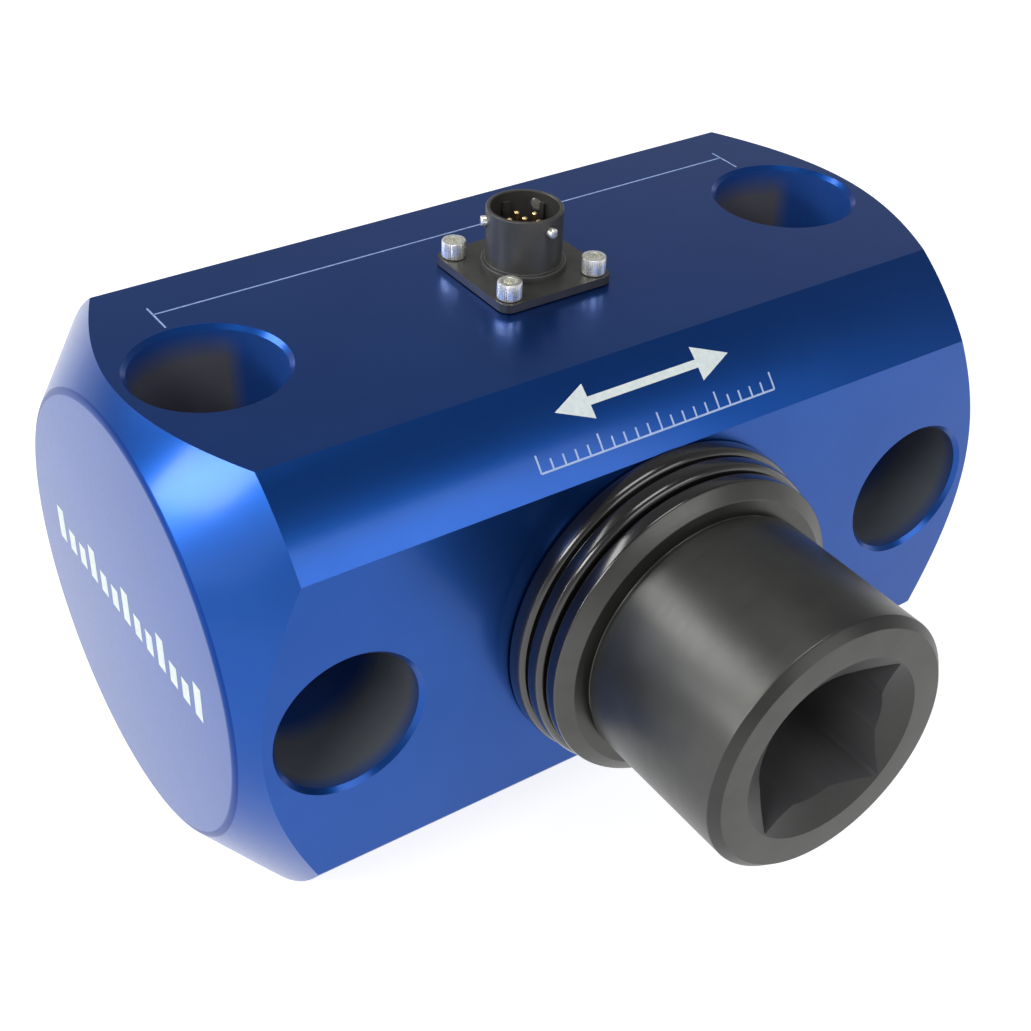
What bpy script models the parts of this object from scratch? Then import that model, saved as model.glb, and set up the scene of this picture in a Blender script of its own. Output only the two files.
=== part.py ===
"""Static torque transducer with a 1 inch female square drive.

A drive is plugged into the square at the front and turned. The measuring shaft carries that torque
to the anchor plate at the back, and twists by a fraction of a degree in its thin middle, where four
strain gauges read the twist. The block is bolted to a bench or a machine through its crossing holes.

X runs along the block, -Y is the drive side, Z is up. The origin is the centre of the bottom flat.
Sizes below are millimetres, and MM turns them into metres.
"""

import math

import bmesh
import bpy
from mathutils import Matrix, Vector

MM = 0.001

# Housing: a round bar with four flats and turned cones at its ends
BAR_DIAMETER = 110.0
ACROSS_FLATS = 90.0
HOUSING_LENGTH = 165.0
END_FACE_DIAMETER = 82.0
END_CONE_LENGTH = 12.0
MOUNT_HOLE_DIAMETER = 27.0
MOUNT_HOLE_SPACING = 126.0
HOLE_EDGE_BREAK = 0.8

# Front of the shaft, measured outwards from the axis and from the middle of the block
SOCKET_DIAMETER = 50.0
SOCKET_END = -92.0
SOCKET_EDGE = 1.6
DRIVE_SQUARE = 25.4
DRIVE_DEPTH = 30.0
DRIVE_PILOT_DIAMETER = 26.6
DRIVE_PILOT_DEPTH = 33.0
DRIVE_MOUTH_DIAMETER = 36.0
DRIVE_MOUTH_SLOPE = 30.0
FLANGE_DIAMETER = 60.4
FLANGE_BACK = -53.2
FLANGE_FRONT = -58.0
FLANGE_SLOPE_RADIUS = 27.4
FLANGE_SLOPE_DEPTH = 1.9
FLANGE_FRONT_RADIUS = 0.6
FLANGE_BACK_RADIUS = 0.9
ROOT_GROOVE_DIAMETER = 48.4
ROOT_GROOVE_WIDTH = 1.4

# Back of the shaft
SEAL_JOURNAL_DIAMETER = 45.0
BEARING_JOURNAL_DIAMETER = 40.0
WAIST_DIAMETER = 32.0
WAIST_FRONT = -23.0
WAIST_BACK = 14.0
WAIST_FILLET = 3.4
REAR_SHOULDER_DIAMETER = 39.0
REAR_SQUARE = 26.0
REAR_SQUARE_CORNERS = 35.0
REAR_SQUARE_LENGTH = 7.8

# Stepped bore of the housing
COLLAR_THREAD_DIAMETER = 58.0
BEARING_SEAT_END = -28.0
CHAMBER_DIAMETER = 53.0
CHAMBER_END = 8.0
WEB_BORE_DIAMETER = 40.0
ANCHOR_RECESS_DIAMETER = 60.6
ANCHOR_RECESS_FLOOR = 28.7

# Collar that closes the bore at the front
COLLAR_DIAMETER = 64.0
COLLAR_RING_RADIUS = 1.3
COLLAR_BEAD_DIAMETER = 62.4
COLLAR_BEAD_RADIUS = 1.2
COLLAR_GROOVE_DIAMETER = 60.4
COLLAR_FRONT = -52.8
COLLAR_BEAD_BACK = -49.7
COLLAR_RING_FRONT = -48.9
COLLAR_SPIGOT_END = -37.3
FACE_GROOVE_INSET = 0.9
FACE_GROOVE_DEPTH = 1.7
FACE_SEAL_SECTION = 1.4
SEAL_POCKET_DIAMETER = 54.6
SEAL_POCKET_FLOOR = -43.4
COLLAR_BORE_DIAMETER = 46.4

# Lip seal in the collar
SEAL_SET_BACK = 1.0
SEAL_WALL = 2.0
SEAL_WEB_GAP = 2.2
SEAL_LIP_THICKNESS = 1.2
SEAL_LIP_INSET = 0.6
SEAL_LIP_EDGE = 1.0
SEAL_LIP_RELIEF = 0.4

# Ball bearing
BEARING_WIDTH = 8.6
BALL_COUNT = 12
BALL_DIAMETER = 5.2
BALL_CIRCLE_DIAMETER = 49.2
RACE_CLEARANCE = 0.3
INNER_RACE_LAND = 46.0
OUTER_RACE_LAND = 52.4
CAGE_THICKNESS = 1.4
CAGE_WIDTH = 7.2
RACE_STEPS = 5
BALL_RINGS = 5

# Anchor plate with its screws and dowels
ANCHOR_PLATE_DIAMETER = 60.0
ANCHOR_FACE = 44.7
ANCHOR_PLATE_EDGE = 0.5
WASHER_POCKET_EDGE = 0.3
WASHER_POCKET_DIAMETER = 38.8
WASHER_POCKET_FLOOR = 37.0
ANCHOR_CIRCLE_RADIUS = 24.6
ANCHOR_SCREW_COUNT = 4
ANCHOR_DOWEL_TURN = 45.0
ANCHOR_HEAD_DIAMETER = 8.5
ANCHOR_HEAD_HEIGHT = 5.0
ANCHOR_SHANK_DIAMETER = 4.8
ANCHOR_SCREW_TIP = 15.0
DOWEL_DIAMETER = 6.0
DOWEL_FRONT = 17.5
DOWEL_BACK = 43.4
DOWEL_EDGE = 0.6
RETAINING_HEAD_DIAMETER = 13.0
RETAINING_HEAD_HEIGHT = 4.8
RETAINING_SHANK_DIAMETER = 7.6
RETAINING_TIP = 18.0
WASHER_DIAMETER = 38.0
WASHER_THICKNESS = 2.4
WASHER_EDGE = 0.4
HEX_SHARE = 0.5
HEX_DEPTH_SHARE = 0.55
HEAD_EDGE_SHARE = 0.12

# Strain gauges, board and leads
GAUGE_COUNT = 4
GAUGE_LENGTH = 9.0
GAUGE_THICKNESS = 0.4
GAUGE_SPREAD = 28.0
GAUGE_MIDDLE = -4.0
GAUGE_STEPS = 6
BOARD_INNER_DIAMETER = 40.6
BOARD_OUTER_DIAMETER = 52.0
BOARD_THICKNESS = 1.6
LEAD_DIAMETER = 3.4
LEAD_BEND_START = 4.4
LEAD_BEND_RISE = 6.0
LEAD_BEND_STEPS = 6

# Connector on the top flat
CONNECTOR_FLANGE = 23.8
CONNECTOR_FLANGE_THICKNESS = 1.6
CONNECTOR_FLANGE_CORNER = 2.2
CONNECTOR_SCREW_SPACING = 18.26
BARREL_DIAMETER = 14.0
BARREL_TOP = 103.4
BARREL_EDGE = 0.3
BARREL_FOOT_DIAMETER = 15.6
BARREL_FOOT_HEIGHT = 1.3
BARREL_FOOT_EDGE = 0.3
MOUTH_DIAMETER = 12.5
MOUTH_EDGE = 0.15
MOUTH_FLOOR = 95.0
BOSS_DIAMETER = 13.2
BOSS_BOTTOM = 81.5
INSERT_BORE_DIAMETER = 10.4
INSERT_TOP = 96.6
CONNECTOR_POCKET_DIAMETER = 14.0
CONNECTOR_POCKET_FLOOR = 80.0
LEAD_PASSAGE_DIAMETER = 9.0
SEAL_COUNTERBORE_DIAMETER = 19.2
SEAL_COUNTERBORE_DEPTH = 1.6
CONNECTOR_SEAL_SECTION = 1.2
KEY_ANGLES = (90, 170, 232, 286, 23)
KEY_LENGTH = 6.6
KEY_ROOT = 0.5
KEY_REACH = 0.6
MAIN_KEY_WIDTH = 1.6
SIDE_KEY_WIDTH = 0.9
PIN_DIAMETER = 1.1
PIN_TOP = 101.2
PIN_BOTTOM = 82.6
PIN_CIRCLE_RADIUS = 2.75
PIN_FIRST_ANGLE = 87.0
PIN_COUNT = 6
PIN_POINT_SHARE = 0.8
BAYONET_COUNT = 3
BAYONET_DIAMETER = 1.9
BAYONET_REACH = 8.0
BAYONET_ROOT = 6.4
BAYONET_EDGE = 0.3
BAYONET_HEIGHT = 100.9
BAYONET_FIRST_ANGLE = 277.0
CAP_SCREW_HEAD_DIAMETER = 4.5
CAP_SCREW_HEAD_HEIGHT = 3.1
CAP_SCREW_SHANK_DIAMETER = 2.6
CAP_SCREW_TIP = 83.0

# Clearances between neighbours, and how far a cutter reaches past the face that it cuts
FIT = 0.3
SEAT = 0.2
PAST = 2.0

# Sides of round shapes
BAR_SIDES = 68
LARGE_SIDES = 36
HOLE_SIDES = 28
BARREL_SIDES = 24
RING_SIDES = 20
SMALL_SIDES = 12
FINE_SIDES = 8

HALF = ACROSS_FLATS / 2
TOP = ACROSS_FLATS
FLANGE_TOP = TOP + SEAT + CONNECTOR_FLANGE_THICKNESS
AXIS_POINT = (0.0, 0.0, HALF)
TURN_TO = {
    "X": (0.0, math.pi / 2, 0.0),
    "Y": (-math.pi / 2, 0.0, 0.0),
    "Z": (0.0, 0.0, 0.0),
}

# Colour, roughness and metallic value of each material
LOOKS = {
    "anodised_blue": ((0.012, 0.075, 0.36), 0.34, 0.85),
    "black_oxide_steel": ((0.055, 0.055, 0.052), 0.33, 0.9),
    "black_collar": ((0.02, 0.02, 0.022), 0.16, 0.6),
    "bearing_steel": ((0.62, 0.62, 0.60), 0.2, 1.0),
    "bright_steel": ((0.66, 0.66, 0.63), 0.26, 1.0),
    "ground_steel": ((0.42, 0.42, 0.41), 0.3, 1.0),
    "brass": ((0.68, 0.48, 0.2), 0.3, 1.0),
    "rubber": ((0.016, 0.016, 0.017), 0.7, 0.0),
    "connector_black": ((0.025, 0.026, 0.026), 0.42, 0.4),
    "insert_plastic": ((0.02, 0.02, 0.022), 0.55, 0.0),
    "gold": ((0.86, 0.62, 0.24), 0.24, 1.0),
    "gauge_foil": ((0.62, 0.34, 0.12), 0.4, 0.5),
    "board": ((0.03, 0.16, 0.06), 0.45, 0.0),
    "lead_sleeve": ((0.3, 0.3, 0.31), 0.6, 0.0),
}


def clear_scene():
    for old in list(bpy.data.objects):
        bpy.data.objects.remove(old, do_unlink=True)


def make_materials():
    made = {}
    for name, (colour, roughness, metallic) in LOOKS.items():
        material = bpy.data.materials.new(name)
        material.use_nodes = True
        shader = material.node_tree.nodes["Principled BSDF"]
        shader.inputs["Base Color"].default_value = (*colour, 1.0)
        shader.inputs["Roughness"].default_value = roughness
        shader.inputs["Metallic"].default_value = metallic
        made[name] = material
    return made


def rounded(corners, steps=2):
    """Corners (x, y, radius) in order, to an outline with an arc at each corner whose radius isn't 0."""
    outline = []
    for i, (x, y, radius) in enumerate(corners):
        here = Vector((x, y))
        if not radius:
            outline.append((x, y))
            continue
        before = (Vector(corners[i - 1][:2]) - here).normalized()
        after = (Vector(corners[(i + 1) % len(corners)][:2]) - here).normalized()
        half_angle = before.angle(after) / 2
        centre = here + (before + after).normalized() * radius / math.sin(half_angle)
        reach = radius / math.tan(half_angle)
        first = here + before * reach - centre
        last = here + after * reach - centre
        start = math.atan2(first.y, first.x)
        turn = math.remainder(math.atan2(last.y, last.x) - start, 2 * math.pi)
        for step in range(steps + 1):
            angle = start + turn * step / steps
            outline.append((centre.x + radius * math.cos(angle), centre.y + radius * math.sin(angle)))
    return outline


def add_object(name, shape, look, at, axis="Z"):
    """A bmesh in millimetres becomes an object, placed by its location and rotation."""
    bmesh.ops.recalc_face_normals(shape, faces=shape.faces)
    bmesh.ops.scale(shape, vec=(MM, MM, MM), verts=shape.verts)
    mesh = bpy.data.meshes.new(name)
    shape.to_mesh(mesh)
    shape.free()
    mesh.shade_smooth()
    mesh.set_sharp_from_angle(angle=math.radians(30))
    added = bpy.data.objects.new(name, mesh)
    bpy.context.scene.collection.objects.link(added)
    added.location = Vector(at) * MM
    added.rotation_euler = TURN_TO[axis]
    if look:
        mesh.materials.append(MATERIALS[look])
        added.parent = ROOT
    else:
        added.hide_render = True
        added.display_type = "WIRE"
    return added


def turned(name, outline, look=None, at=AXIS_POINT, axis="Y", sides=LARGE_SIDES, sweep=360.0):
    """A closed outline of (radius, station) points, spun round the chosen axis."""
    shape = bmesh.new()
    points = [shape.verts.new((radius, 0.0, station)) for radius, station in outline]
    edges = []
    for here, after in zip(points, points[1:] + points[:1]):
        if here.co.x > 0 or after.co.x > 0:
            edges.append(shape.edges.new((here, after)))
    whole = sweep == 360.0
    if not whole:
        shape.faces.new(points)
    spun = points + edges + list(shape.faces)
    turn = math.radians(sweep)
    bmesh.ops.spin(shape, geom=spun, axis=(0, 0, 1), angle=turn, steps=sides, use_merge=whole)
    bmesh.ops.remove_doubles(shape, verts=shape.verts, dist=1e-4)
    return add_object(name, shape, look, at, axis)


def turned_upright(name, outline, look=None, x=0.0, y=0.0, sides=BARREL_SIDES):
    """The same on a vertical axis, with stations as heights over the bottom flat."""
    return turned(name, outline, look, (x, y, 0.0), "Z", sides)


def plain(radius, start, end):
    """Outline of a plain cylinder between two stations."""
    return [(0, start), (radius, start), (radius, end), (0, end)]


def prism(name, outline, bottom, top, look=None, at=(0, 0, 0), axis="Z"):
    """An outline in the plane, extruded from one height to another."""
    shape = bmesh.new()
    base = shape.faces.new([shape.verts.new((x, y, bottom)) for x, y in outline])
    grown = bmesh.ops.extrude_face_region(shape, geom=[base])["geom"]
    moved = [element for element in grown if isinstance(element, bmesh.types.BMVert)]
    bmesh.ops.translate(shape, vec=(0, 0, top - bottom), verts=moved)
    return add_object(name, shape, look, at, axis)


def square(side, corner=0.0):
    half = side / 2
    signs = ((1, -1), (1, 1), (-1, 1), (-1, -1))
    return rounded([(half * x, half * y, corner) for x, y in signs])


def hexagon(across):
    radius = across / math.sqrt(3)
    return [(x, y) for x, y, _ in on_circle(radius, 6)]


def on_circle(radius, count, first=0.0):
    """Points of the plane, evenly round a circle, with their angles."""
    for k in range(count):
        angle = math.radians(first) + 2 * math.pi * k / count
        yield radius * math.cos(angle), radius * math.sin(angle), angle


def combine(target, tool, operation="DIFFERENCE"):
    """Leaves a Boolean on the target. The tool stays in the scene as a hidden helper."""
    modifier = target.modifiers.new(tool.name, "BOOLEAN")
    modifier.operation = operation
    modifier.solver = "EXACT"
    modifier.object = tool


def through_hole(name, at, axis, start, end):
    """A mounting hole's drill, flared at both faces so that it also breaks the hole's edges."""
    radius = MOUNT_HOLE_DIAMETER / 2
    flare = radius + HOLE_EDGE_BREAK + PAST
    outline = [
        (0, start - PAST),
        (flare, start - PAST),
        (radius, start + HOLE_EDGE_BREAK),
        (radius, end - HOLE_EDGE_BREAK),
        (flare, end + PAST),
        (0, end + PAST),
    ]
    return turned(name, outline, at=at, axis=axis, sides=HOLE_SIDES)


def make_housing():
    """Round bar with coned ends, cut to four flats, then bored and drilled."""
    end = HOUSING_LENGTH / 2
    bar_radius = BAR_DIAMETER / 2
    face_radius = END_FACE_DIAMETER / 2
    cone = end - END_CONE_LENGTH
    outline = [(0, -end), (face_radius, -end), (bar_radius, -cone)]
    outline += [(bar_radius, cone), (face_radius, end), (0, end)]
    housing = turned("housing", outline, look="anodised_blue", axis="X", sides=BAR_SIDES)
    flats = prism("cut_flats", square(ACROSS_FLATS), -end - PAST, end + PAST, at=AXIS_POINT, axis="X")
    combine(housing, flats, "INTERSECT")
    for side, label in ((-1, "left"), (1, "right")):
        x = side * MOUNT_HOLE_SPACING / 2
        combine(housing, through_hole(f"drill_upright_{label}", (x, 0, 0), "Z", 0, TOP))
        combine(housing, through_hole(f"drill_level_{label}", (x, 0, HALF), "Y", -HALF, HALF))
    combine(housing, turned("cut_bore", bore_outline()))
    combine(housing, turned_upright("cut_connector_pocket", pocket_outline()))
    for k, (x, y) in enumerate(connector_screw_places()):
        hole = plain(CAP_SCREW_SHANK_DIAMETER / 2 + FIT, CAP_SCREW_TIP - 1, TOP + PAST)
        combine(housing, turned_upright(f"drill_cap_screw_{k + 1}", hole, x=x, y=y, sides=FINE_SIDES))
    hole = plain(ANCHOR_SHANK_DIAMETER / 2 + FIT, ANCHOR_SCREW_TIP - 1, HALF)
    drill_anchor_circle(housing, "drill_anchor_screw", 0, hole, FINE_SIDES)
    hole = plain(DOWEL_DIAMETER / 2 + FIT, DOWEL_FRONT - FIT, HALF)
    drill_anchor_circle(housing, "drill_dowel", ANCHOR_DOWEL_TURN, hole, FINE_SIDES)


def bore_outline():
    """Steps of the bore along the drive axis, widest at the two flats."""
    thread = COLLAR_THREAD_DIAMETER / 2
    chamber = CHAMBER_DIAMETER / 2
    web = WEB_BORE_DIAMETER / 2
    recess = ANCHOR_RECESS_DIAMETER / 2
    out = HALF + PAST
    edge = HOLE_EDGE_BREAK / 2
    return [
        (0, -out),
        (thread, -out),
        (thread, BEARING_SEAT_END),
        (chamber, BEARING_SEAT_END),
        (chamber, CHAMBER_END),
        (web, CHAMBER_END),
        (web, ANCHOR_RECESS_FLOOR),
        (recess, ANCHOR_RECESS_FLOOR),
        (recess, HALF - edge),
        (recess + edge + PAST, out),
        (0, out),
    ]


def pocket_outline():
    """Stepped pocket under the connector, and the lead passage down to the gauge chamber."""
    pocket = CONNECTOR_POCKET_DIAMETER / 2
    seal = SEAL_COUNTERBORE_DIAMETER / 2
    passage = LEAD_PASSAGE_DIAMETER / 2
    inside = HALF + CHAMBER_DIAMETER / 2 - PAST
    return [
        (0, inside),
        (passage, inside),
        (passage, CONNECTOR_POCKET_FLOOR),
        (pocket, CONNECTOR_POCKET_FLOOR),
        (pocket, TOP - SEAL_COUNTERBORE_DEPTH),
        (seal, TOP - SEAL_COUNTERBORE_DEPTH),
        (seal, TOP + PAST),
        (0, TOP + PAST),
    ]


def connector_screw_places():
    reach = CONNECTOR_SCREW_SPACING / 2
    return [(-reach, -reach), (reach, -reach), (reach, reach), (-reach, reach)]


def anchor_places(first):
    """Where the anchor's screws or dowels lie, from the angle of the first one."""
    circle = on_circle(ANCHOR_CIRCLE_RADIUS, ANCHOR_SCREW_COUNT, first)
    return [(x, 0.0, HALF + z) for x, z, _ in circle]


def drill_anchor_circle(target, name, first, outline, sides):
    for k, at in enumerate(anchor_places(first)):
        combine(target, turned(f"{name}_{k + 1}", outline, at=at, sides=sides))


def make_shaft():
    """One turned piece: drive socket, flange, journals, gauge waist and the square that is anchored."""
    socket = SOCKET_DIAMETER / 2
    groove = ROOT_GROOVE_DIAMETER / 2
    flange = FLANGE_DIAMETER / 2
    seal = SEAL_JOURNAL_DIAMETER / 2
    journal = BEARING_JOURNAL_DIAMETER / 2
    waist = WAIST_DIAMETER / 2
    shoulder = REAR_SHOULDER_DIAMETER / 2
    square_radius = REAR_SQUARE_CORNERS / 2
    journal_front = BEARING_SEAT_END - FIT - BEARING_WIDTH - SEAT
    square_start = ANCHOR_RECESS_FLOOR
    square_end = square_start + REAR_SQUARE_LENGTH
    groove_end = FLANGE_FRONT - ROOT_GROOVE_WIDTH
    corners = [
        (0, SOCKET_END, 0),
        (socket - SOCKET_EDGE, SOCKET_END, 0),
        (socket, SOCKET_END + SOCKET_EDGE, 0),
        (socket, groove_end, 0),
        (groove, groove_end, 0),
        (groove, FLANGE_FRONT, 0),
        (FLANGE_SLOPE_RADIUS, FLANGE_FRONT, 0),
        (flange, FLANGE_FRONT + FLANGE_SLOPE_DEPTH, FLANGE_FRONT_RADIUS),
        (flange, FLANGE_BACK, FLANGE_BACK_RADIUS),
        (seal, FLANGE_BACK, 0),
        (seal, journal_front, 0),
        (journal, journal_front, 0),
        (journal, WAIST_FRONT, 0),
        (waist, WAIST_FRONT, WAIST_FILLET),
        (waist, WAIST_BACK, WAIST_FILLET),
        (shoulder, WAIST_BACK, 0),
        (shoulder, square_start, 0),
        (square_radius, square_start, 0),
        (square_radius, square_end, 0),
        (0, square_end, 0),
    ]
    shaft = turned("measuring_shaft", rounded(corners), look="black_oxide_steel")
    combine(shaft, make_square_mill(square_start, square_end))
    combine(shaft, turned("cut_drive_pilot", drive_pilot_outline()))
    drive = square(DRIVE_SQUARE)
    drive_end = SOCKET_END + DRIVE_DEPTH
    broach = prism("cut_drive_square", drive, SOCKET_END - PAST, drive_end, at=AXIS_POINT, axis="Y")
    combine(shaft, broach)
    tapped = plain(RETAINING_SHANK_DIAMETER / 2 + FIT, RETAINING_TIP - 1, HALF)
    combine(shaft, turned("drill_retaining_thread", tapped, sides=SMALL_SIDES))


def make_square_mill(start, end):
    """A ring with a square hole, which mills the shaft's back end to a square."""
    ring = turned("cut_rear_ring", plain(REAR_SHOULDER_DIAMETER, start, end + PAST), sides=HOLE_SIDES)
    sides = square(REAR_SQUARE)
    combine(ring, prism("cut_rear_keep", sides, start - PAST, end + 2 * PAST, at=AXIS_POINT, axis="Y"))
    return ring


def drive_pilot_outline():
    """Countersunk mouth and drilled relief of the square drive."""
    mouth = DRIVE_MOUTH_DIAMETER / 2
    pilot = DRIVE_PILOT_DIAMETER / 2
    slope = math.tan(math.radians(DRIVE_MOUTH_SLOPE))
    bottom = SOCKET_END + DRIVE_PILOT_DEPTH
    return [
        (0, SOCKET_END - PAST),
        (mouth + PAST / slope, SOCKET_END - PAST),
        (pilot, SOCKET_END + (mouth - pilot) * slope),
        (pilot, bottom),
        (0, bottom + pilot * slope),
    ]


def make_collar():
    """Ringed collar, screwed into the housing in front of the bearing, with an o-ring in its back."""
    ring = COLLAR_DIAMETER / 2
    bead = COLLAR_BEAD_DIAMETER / 2
    groove = COLLAR_GROOVE_DIAMETER / 2
    spigot = COLLAR_THREAD_DIAMETER / 2 - FIT
    bore = COLLAR_BORE_DIAMETER / 2
    pocket = SEAL_POCKET_DIAMETER / 2
    back = -HALF - FIT
    face_outer = ring - FACE_GROOVE_INSET
    face_inner = spigot + FACE_GROOVE_INSET / 2
    face_floor = back - FACE_GROOVE_DEPTH
    corners = [
        (pocket, COLLAR_FRONT, 0),
        (bead, COLLAR_FRONT, COLLAR_BEAD_RADIUS),
        (bead, COLLAR_BEAD_BACK, 0),
        (groove, COLLAR_BEAD_BACK, 0),
        (groove, COLLAR_RING_FRONT, 0),
        (ring, COLLAR_RING_FRONT, COLLAR_RING_RADIUS),
        (ring, back, 0),
        (face_outer, back, 0),
        (face_outer, face_floor, 0),
        (face_inner, face_floor, 0),
        (face_inner, back, 0),
        (spigot, back, 0),
        (spigot, COLLAR_SPIGOT_END, 0),
        (bore, COLLAR_SPIGOT_END, 0),
        (bore, SEAL_POCKET_FLOOR, 0),
        (pocket, SEAL_POCKET_FLOOR, 0),
    ]
    turned("front_collar", rounded(corners), look="black_collar")
    middle = (face_outer + face_inner) / 2
    station = back - FACE_SEAL_SECTION / 2
    seal = round_section(middle, FACE_SEAL_SECTION, station)
    turned("collar_o_ring", seal, look="rubber", sides=LARGE_SIDES)


def round_section(middle_radius, section, station):
    """Outline of an o-ring."""
    return [(middle_radius + x, station + y) for x, y, _ in on_circle(section / 2, 6)]


def make_shaft_seal():
    """Lip seal pressed into the collar, whose lip runs on the shaft."""
    outer = SEAL_POCKET_DIAMETER / 2 - FIT
    inner = SEAL_JOURNAL_DIAMETER / 2 + FIT
    web = inner + SEAL_WEB_GAP
    lip = inner + SEAL_LIP_THICKNESS
    front = COLLAR_FRONT + SEAL_SET_BACK
    back = SEAL_POCKET_FLOOR - FIT
    lip_end = back - SEAL_LIP_INSET
    outline = [
        (outer, front),
        (outer, back),
        (web, back),
        (web, front + SEAL_WALL),
        (lip, front + SEAL_WALL),
        (lip, lip_end),
        (inner, lip_end - SEAL_LIP_EDGE),
        (inner + SEAL_LIP_RELIEF, front),
    ]
    turned("shaft_seal", outline, look="rubber", sides=RING_SIDES)


def make_bearing():
    """Deep groove ball bearing between the shaft's journal and the housing."""
    middle = BEARING_SEAT_END - FIT - BEARING_WIDTH / 2
    pitch = BALL_CIRCLE_DIAMETER / 2
    housing_seat = COLLAR_THREAD_DIAMETER / 2 - FIT
    shaft_seat = BEARING_JOURNAL_DIAMETER / 2 + FIT
    make_race("bearing_outer_ring", housing_seat, OUTER_RACE_LAND / 2, middle)
    make_race("bearing_inner_ring", shaft_seat, INNER_RACE_LAND / 2, middle)
    inside = pitch - CAGE_THICKNESS / 2
    outside = pitch + CAGE_THICKNESS / 2
    front = middle - CAGE_WIDTH / 2
    back = middle + CAGE_WIDTH / 2
    band = [(inside, front), (outside, front), (outside, back), (inside, back)]
    cage = turned("bearing_cage", band, look="brass", sides=RING_SIDES)
    pocket = plain(BALL_DIAMETER / 2 + FIT, -PAST, PAST)
    for k, (x, z, angle) in enumerate(on_circle(pitch, BALL_COUNT)):
        at = (x, middle, HALF + z)
        window = turned(f"cut_pocket_{k + 1}", pocket, at=at, sides=FINE_SIDES)
        window.rotation_euler = (0, math.pi / 2 - angle, 0)
        combine(cage, window)
        ball = bmesh.new()
        radius = BALL_DIAMETER / 2
        bmesh.ops.create_uvsphere(ball, u_segments=FINE_SIDES, v_segments=BALL_RINGS, radius=radius)
        add_object(f"bearing_ball_{k + 1}", ball, "bearing_steel", at)


def make_race(name, seat, land, middle):
    """One ring of the bearing: a plain seat on one side and the ball groove in the other."""
    rim = BEARING_WIDTH / 2
    pitch = BALL_CIRCLE_DIAMETER / 2
    groove = BALL_DIAMETER / 2 + RACE_CLEARANCE
    outward = 1 if land > pitch else -1
    spread = math.acos(abs(land - pitch) / groove)
    outline = [(seat, middle - rim), (seat, middle + rim), (land, middle + rim)]
    for step in range(RACE_STEPS + 1):
        angle = spread * (1 - 2 * step / RACE_STEPS)
        radius = pitch + outward * groove * math.cos(angle)
        outline.append((radius, middle + groove * math.sin(angle)))
    outline.append((land, middle - rim))
    turned(name, outline, look="bearing_steel", sides=RING_SIDES)


def make_anchor():
    """Plate let into the back flat, which holds the shaft's square against turning."""
    outer = ANCHOR_PLATE_DIAMETER / 2
    pocket = WASHER_POCKET_DIAMETER / 2
    start = ANCHOR_RECESS_FLOOR + FIT
    out = HALF + PAST
    corners = [
        (0, start, 0),
        (outer, start, 0),
        (outer, ANCHOR_FACE, ANCHOR_PLATE_EDGE),
        (pocket, ANCHOR_FACE, WASHER_POCKET_EDGE),
        (pocket, WASHER_POCKET_FLOOR, 0),
        (0, WASHER_POCKET_FLOOR, 0),
    ]
    plate = turned("anchor_plate", rounded(corners, 1), look="ground_steel")
    sides = square(REAR_SQUARE + 2 * FIT)
    combine(plate, prism("cut_anchor_square", sides, start - PAST, out, at=AXIS_POINT, axis="Y"))
    shank = ANCHOR_SHANK_DIAMETER / 2 + FIT
    head = ANCHOR_HEAD_DIAMETER / 2 + FIT
    seat = ANCHOR_FACE - ANCHOR_HEAD_HEIGHT
    stepped = [(0, start - PAST), (shank, start - PAST), (shank, seat - FIT)]
    stepped += [(head, seat - FIT), (head, out), (0, out)]
    drill_anchor_circle(plate, "drill_plate_screw", 0, stepped, SMALL_SIDES)
    hole = plain(DOWEL_DIAMETER / 2 + FIT, start - PAST, out)
    drill_anchor_circle(plate, "drill_plate_dowel", ANCHOR_DOWEL_TURN, hole, FINE_SIDES)
    size = (ANCHOR_HEAD_DIAMETER, ANCHOR_HEAD_HEIGHT, ANCHOR_SHANK_DIAMETER)
    for k, at in enumerate(anchor_places(0)):
        cap_screw(f"anchor_screw_{k + 1}", size, seat, ANCHOR_SCREW_TIP, "black_oxide_steel", at, "Y")
    radius = DOWEL_DIAMETER / 2
    corners = [(0, DOWEL_FRONT, 0), (radius, DOWEL_FRONT, DOWEL_EDGE)]
    corners += [(radius, DOWEL_BACK, DOWEL_EDGE), (0, DOWEL_BACK, 0)]
    for k, at in enumerate(anchor_places(ANCHOR_DOWEL_TURN)):
        turned(f"anchor_dowel_{k + 1}", rounded(corners, 1), look="ground_steel", at=at, sides=FINE_SIDES)


def make_retainer():
    """Screw and large washer, which draw the shaft's shoulder back against the anchor plate."""
    front = WASHER_POCKET_FLOOR + SEAT
    back = front + WASHER_THICKNESS
    washer = WASHER_DIAMETER / 2
    bore = RETAINING_SHANK_DIAMETER / 2 + FIT
    corners = [(bore, front, 0), (washer, front, 0), (washer, back, WASHER_EDGE), (bore, back, 0)]
    turned("retaining_washer", rounded(corners, 1), look="bright_steel", sides=RING_SIDES)
    size = (RETAINING_HEAD_DIAMETER, RETAINING_HEAD_HEIGHT, RETAINING_SHANK_DIAMETER)
    cap_screw("retaining_screw", size, back + SEAT, RETAINING_TIP, "black_oxide_steel", AXIS_POINT, "Y")


def cap_screw(name, size, seat, tip, look, at, axis):
    """Socket head screw: the head stands on the seat and the shank reaches back to the tip."""
    head_diameter, head_height, shank_diameter = size
    head = head_diameter / 2
    shank = shank_diameter / 2
    top = seat + head_height
    edge = head * HEAD_EDGE_SHARE
    outline = [(0, tip), (shank, tip), (shank, seat), (head, seat)]
    outline += [(head, top - edge), (head - edge, top), (0, top)]
    screw = turned(name, outline, look=look, at=at, axis=axis, sides=SMALL_SIDES)
    floor = top - head_height * HEX_DEPTH_SHARE
    key = hexagon(head_diameter * HEX_SHARE)
    combine(screw, prism(f"cut_hex_{name}", key, floor, top + PAST, at=at, axis=axis))


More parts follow.
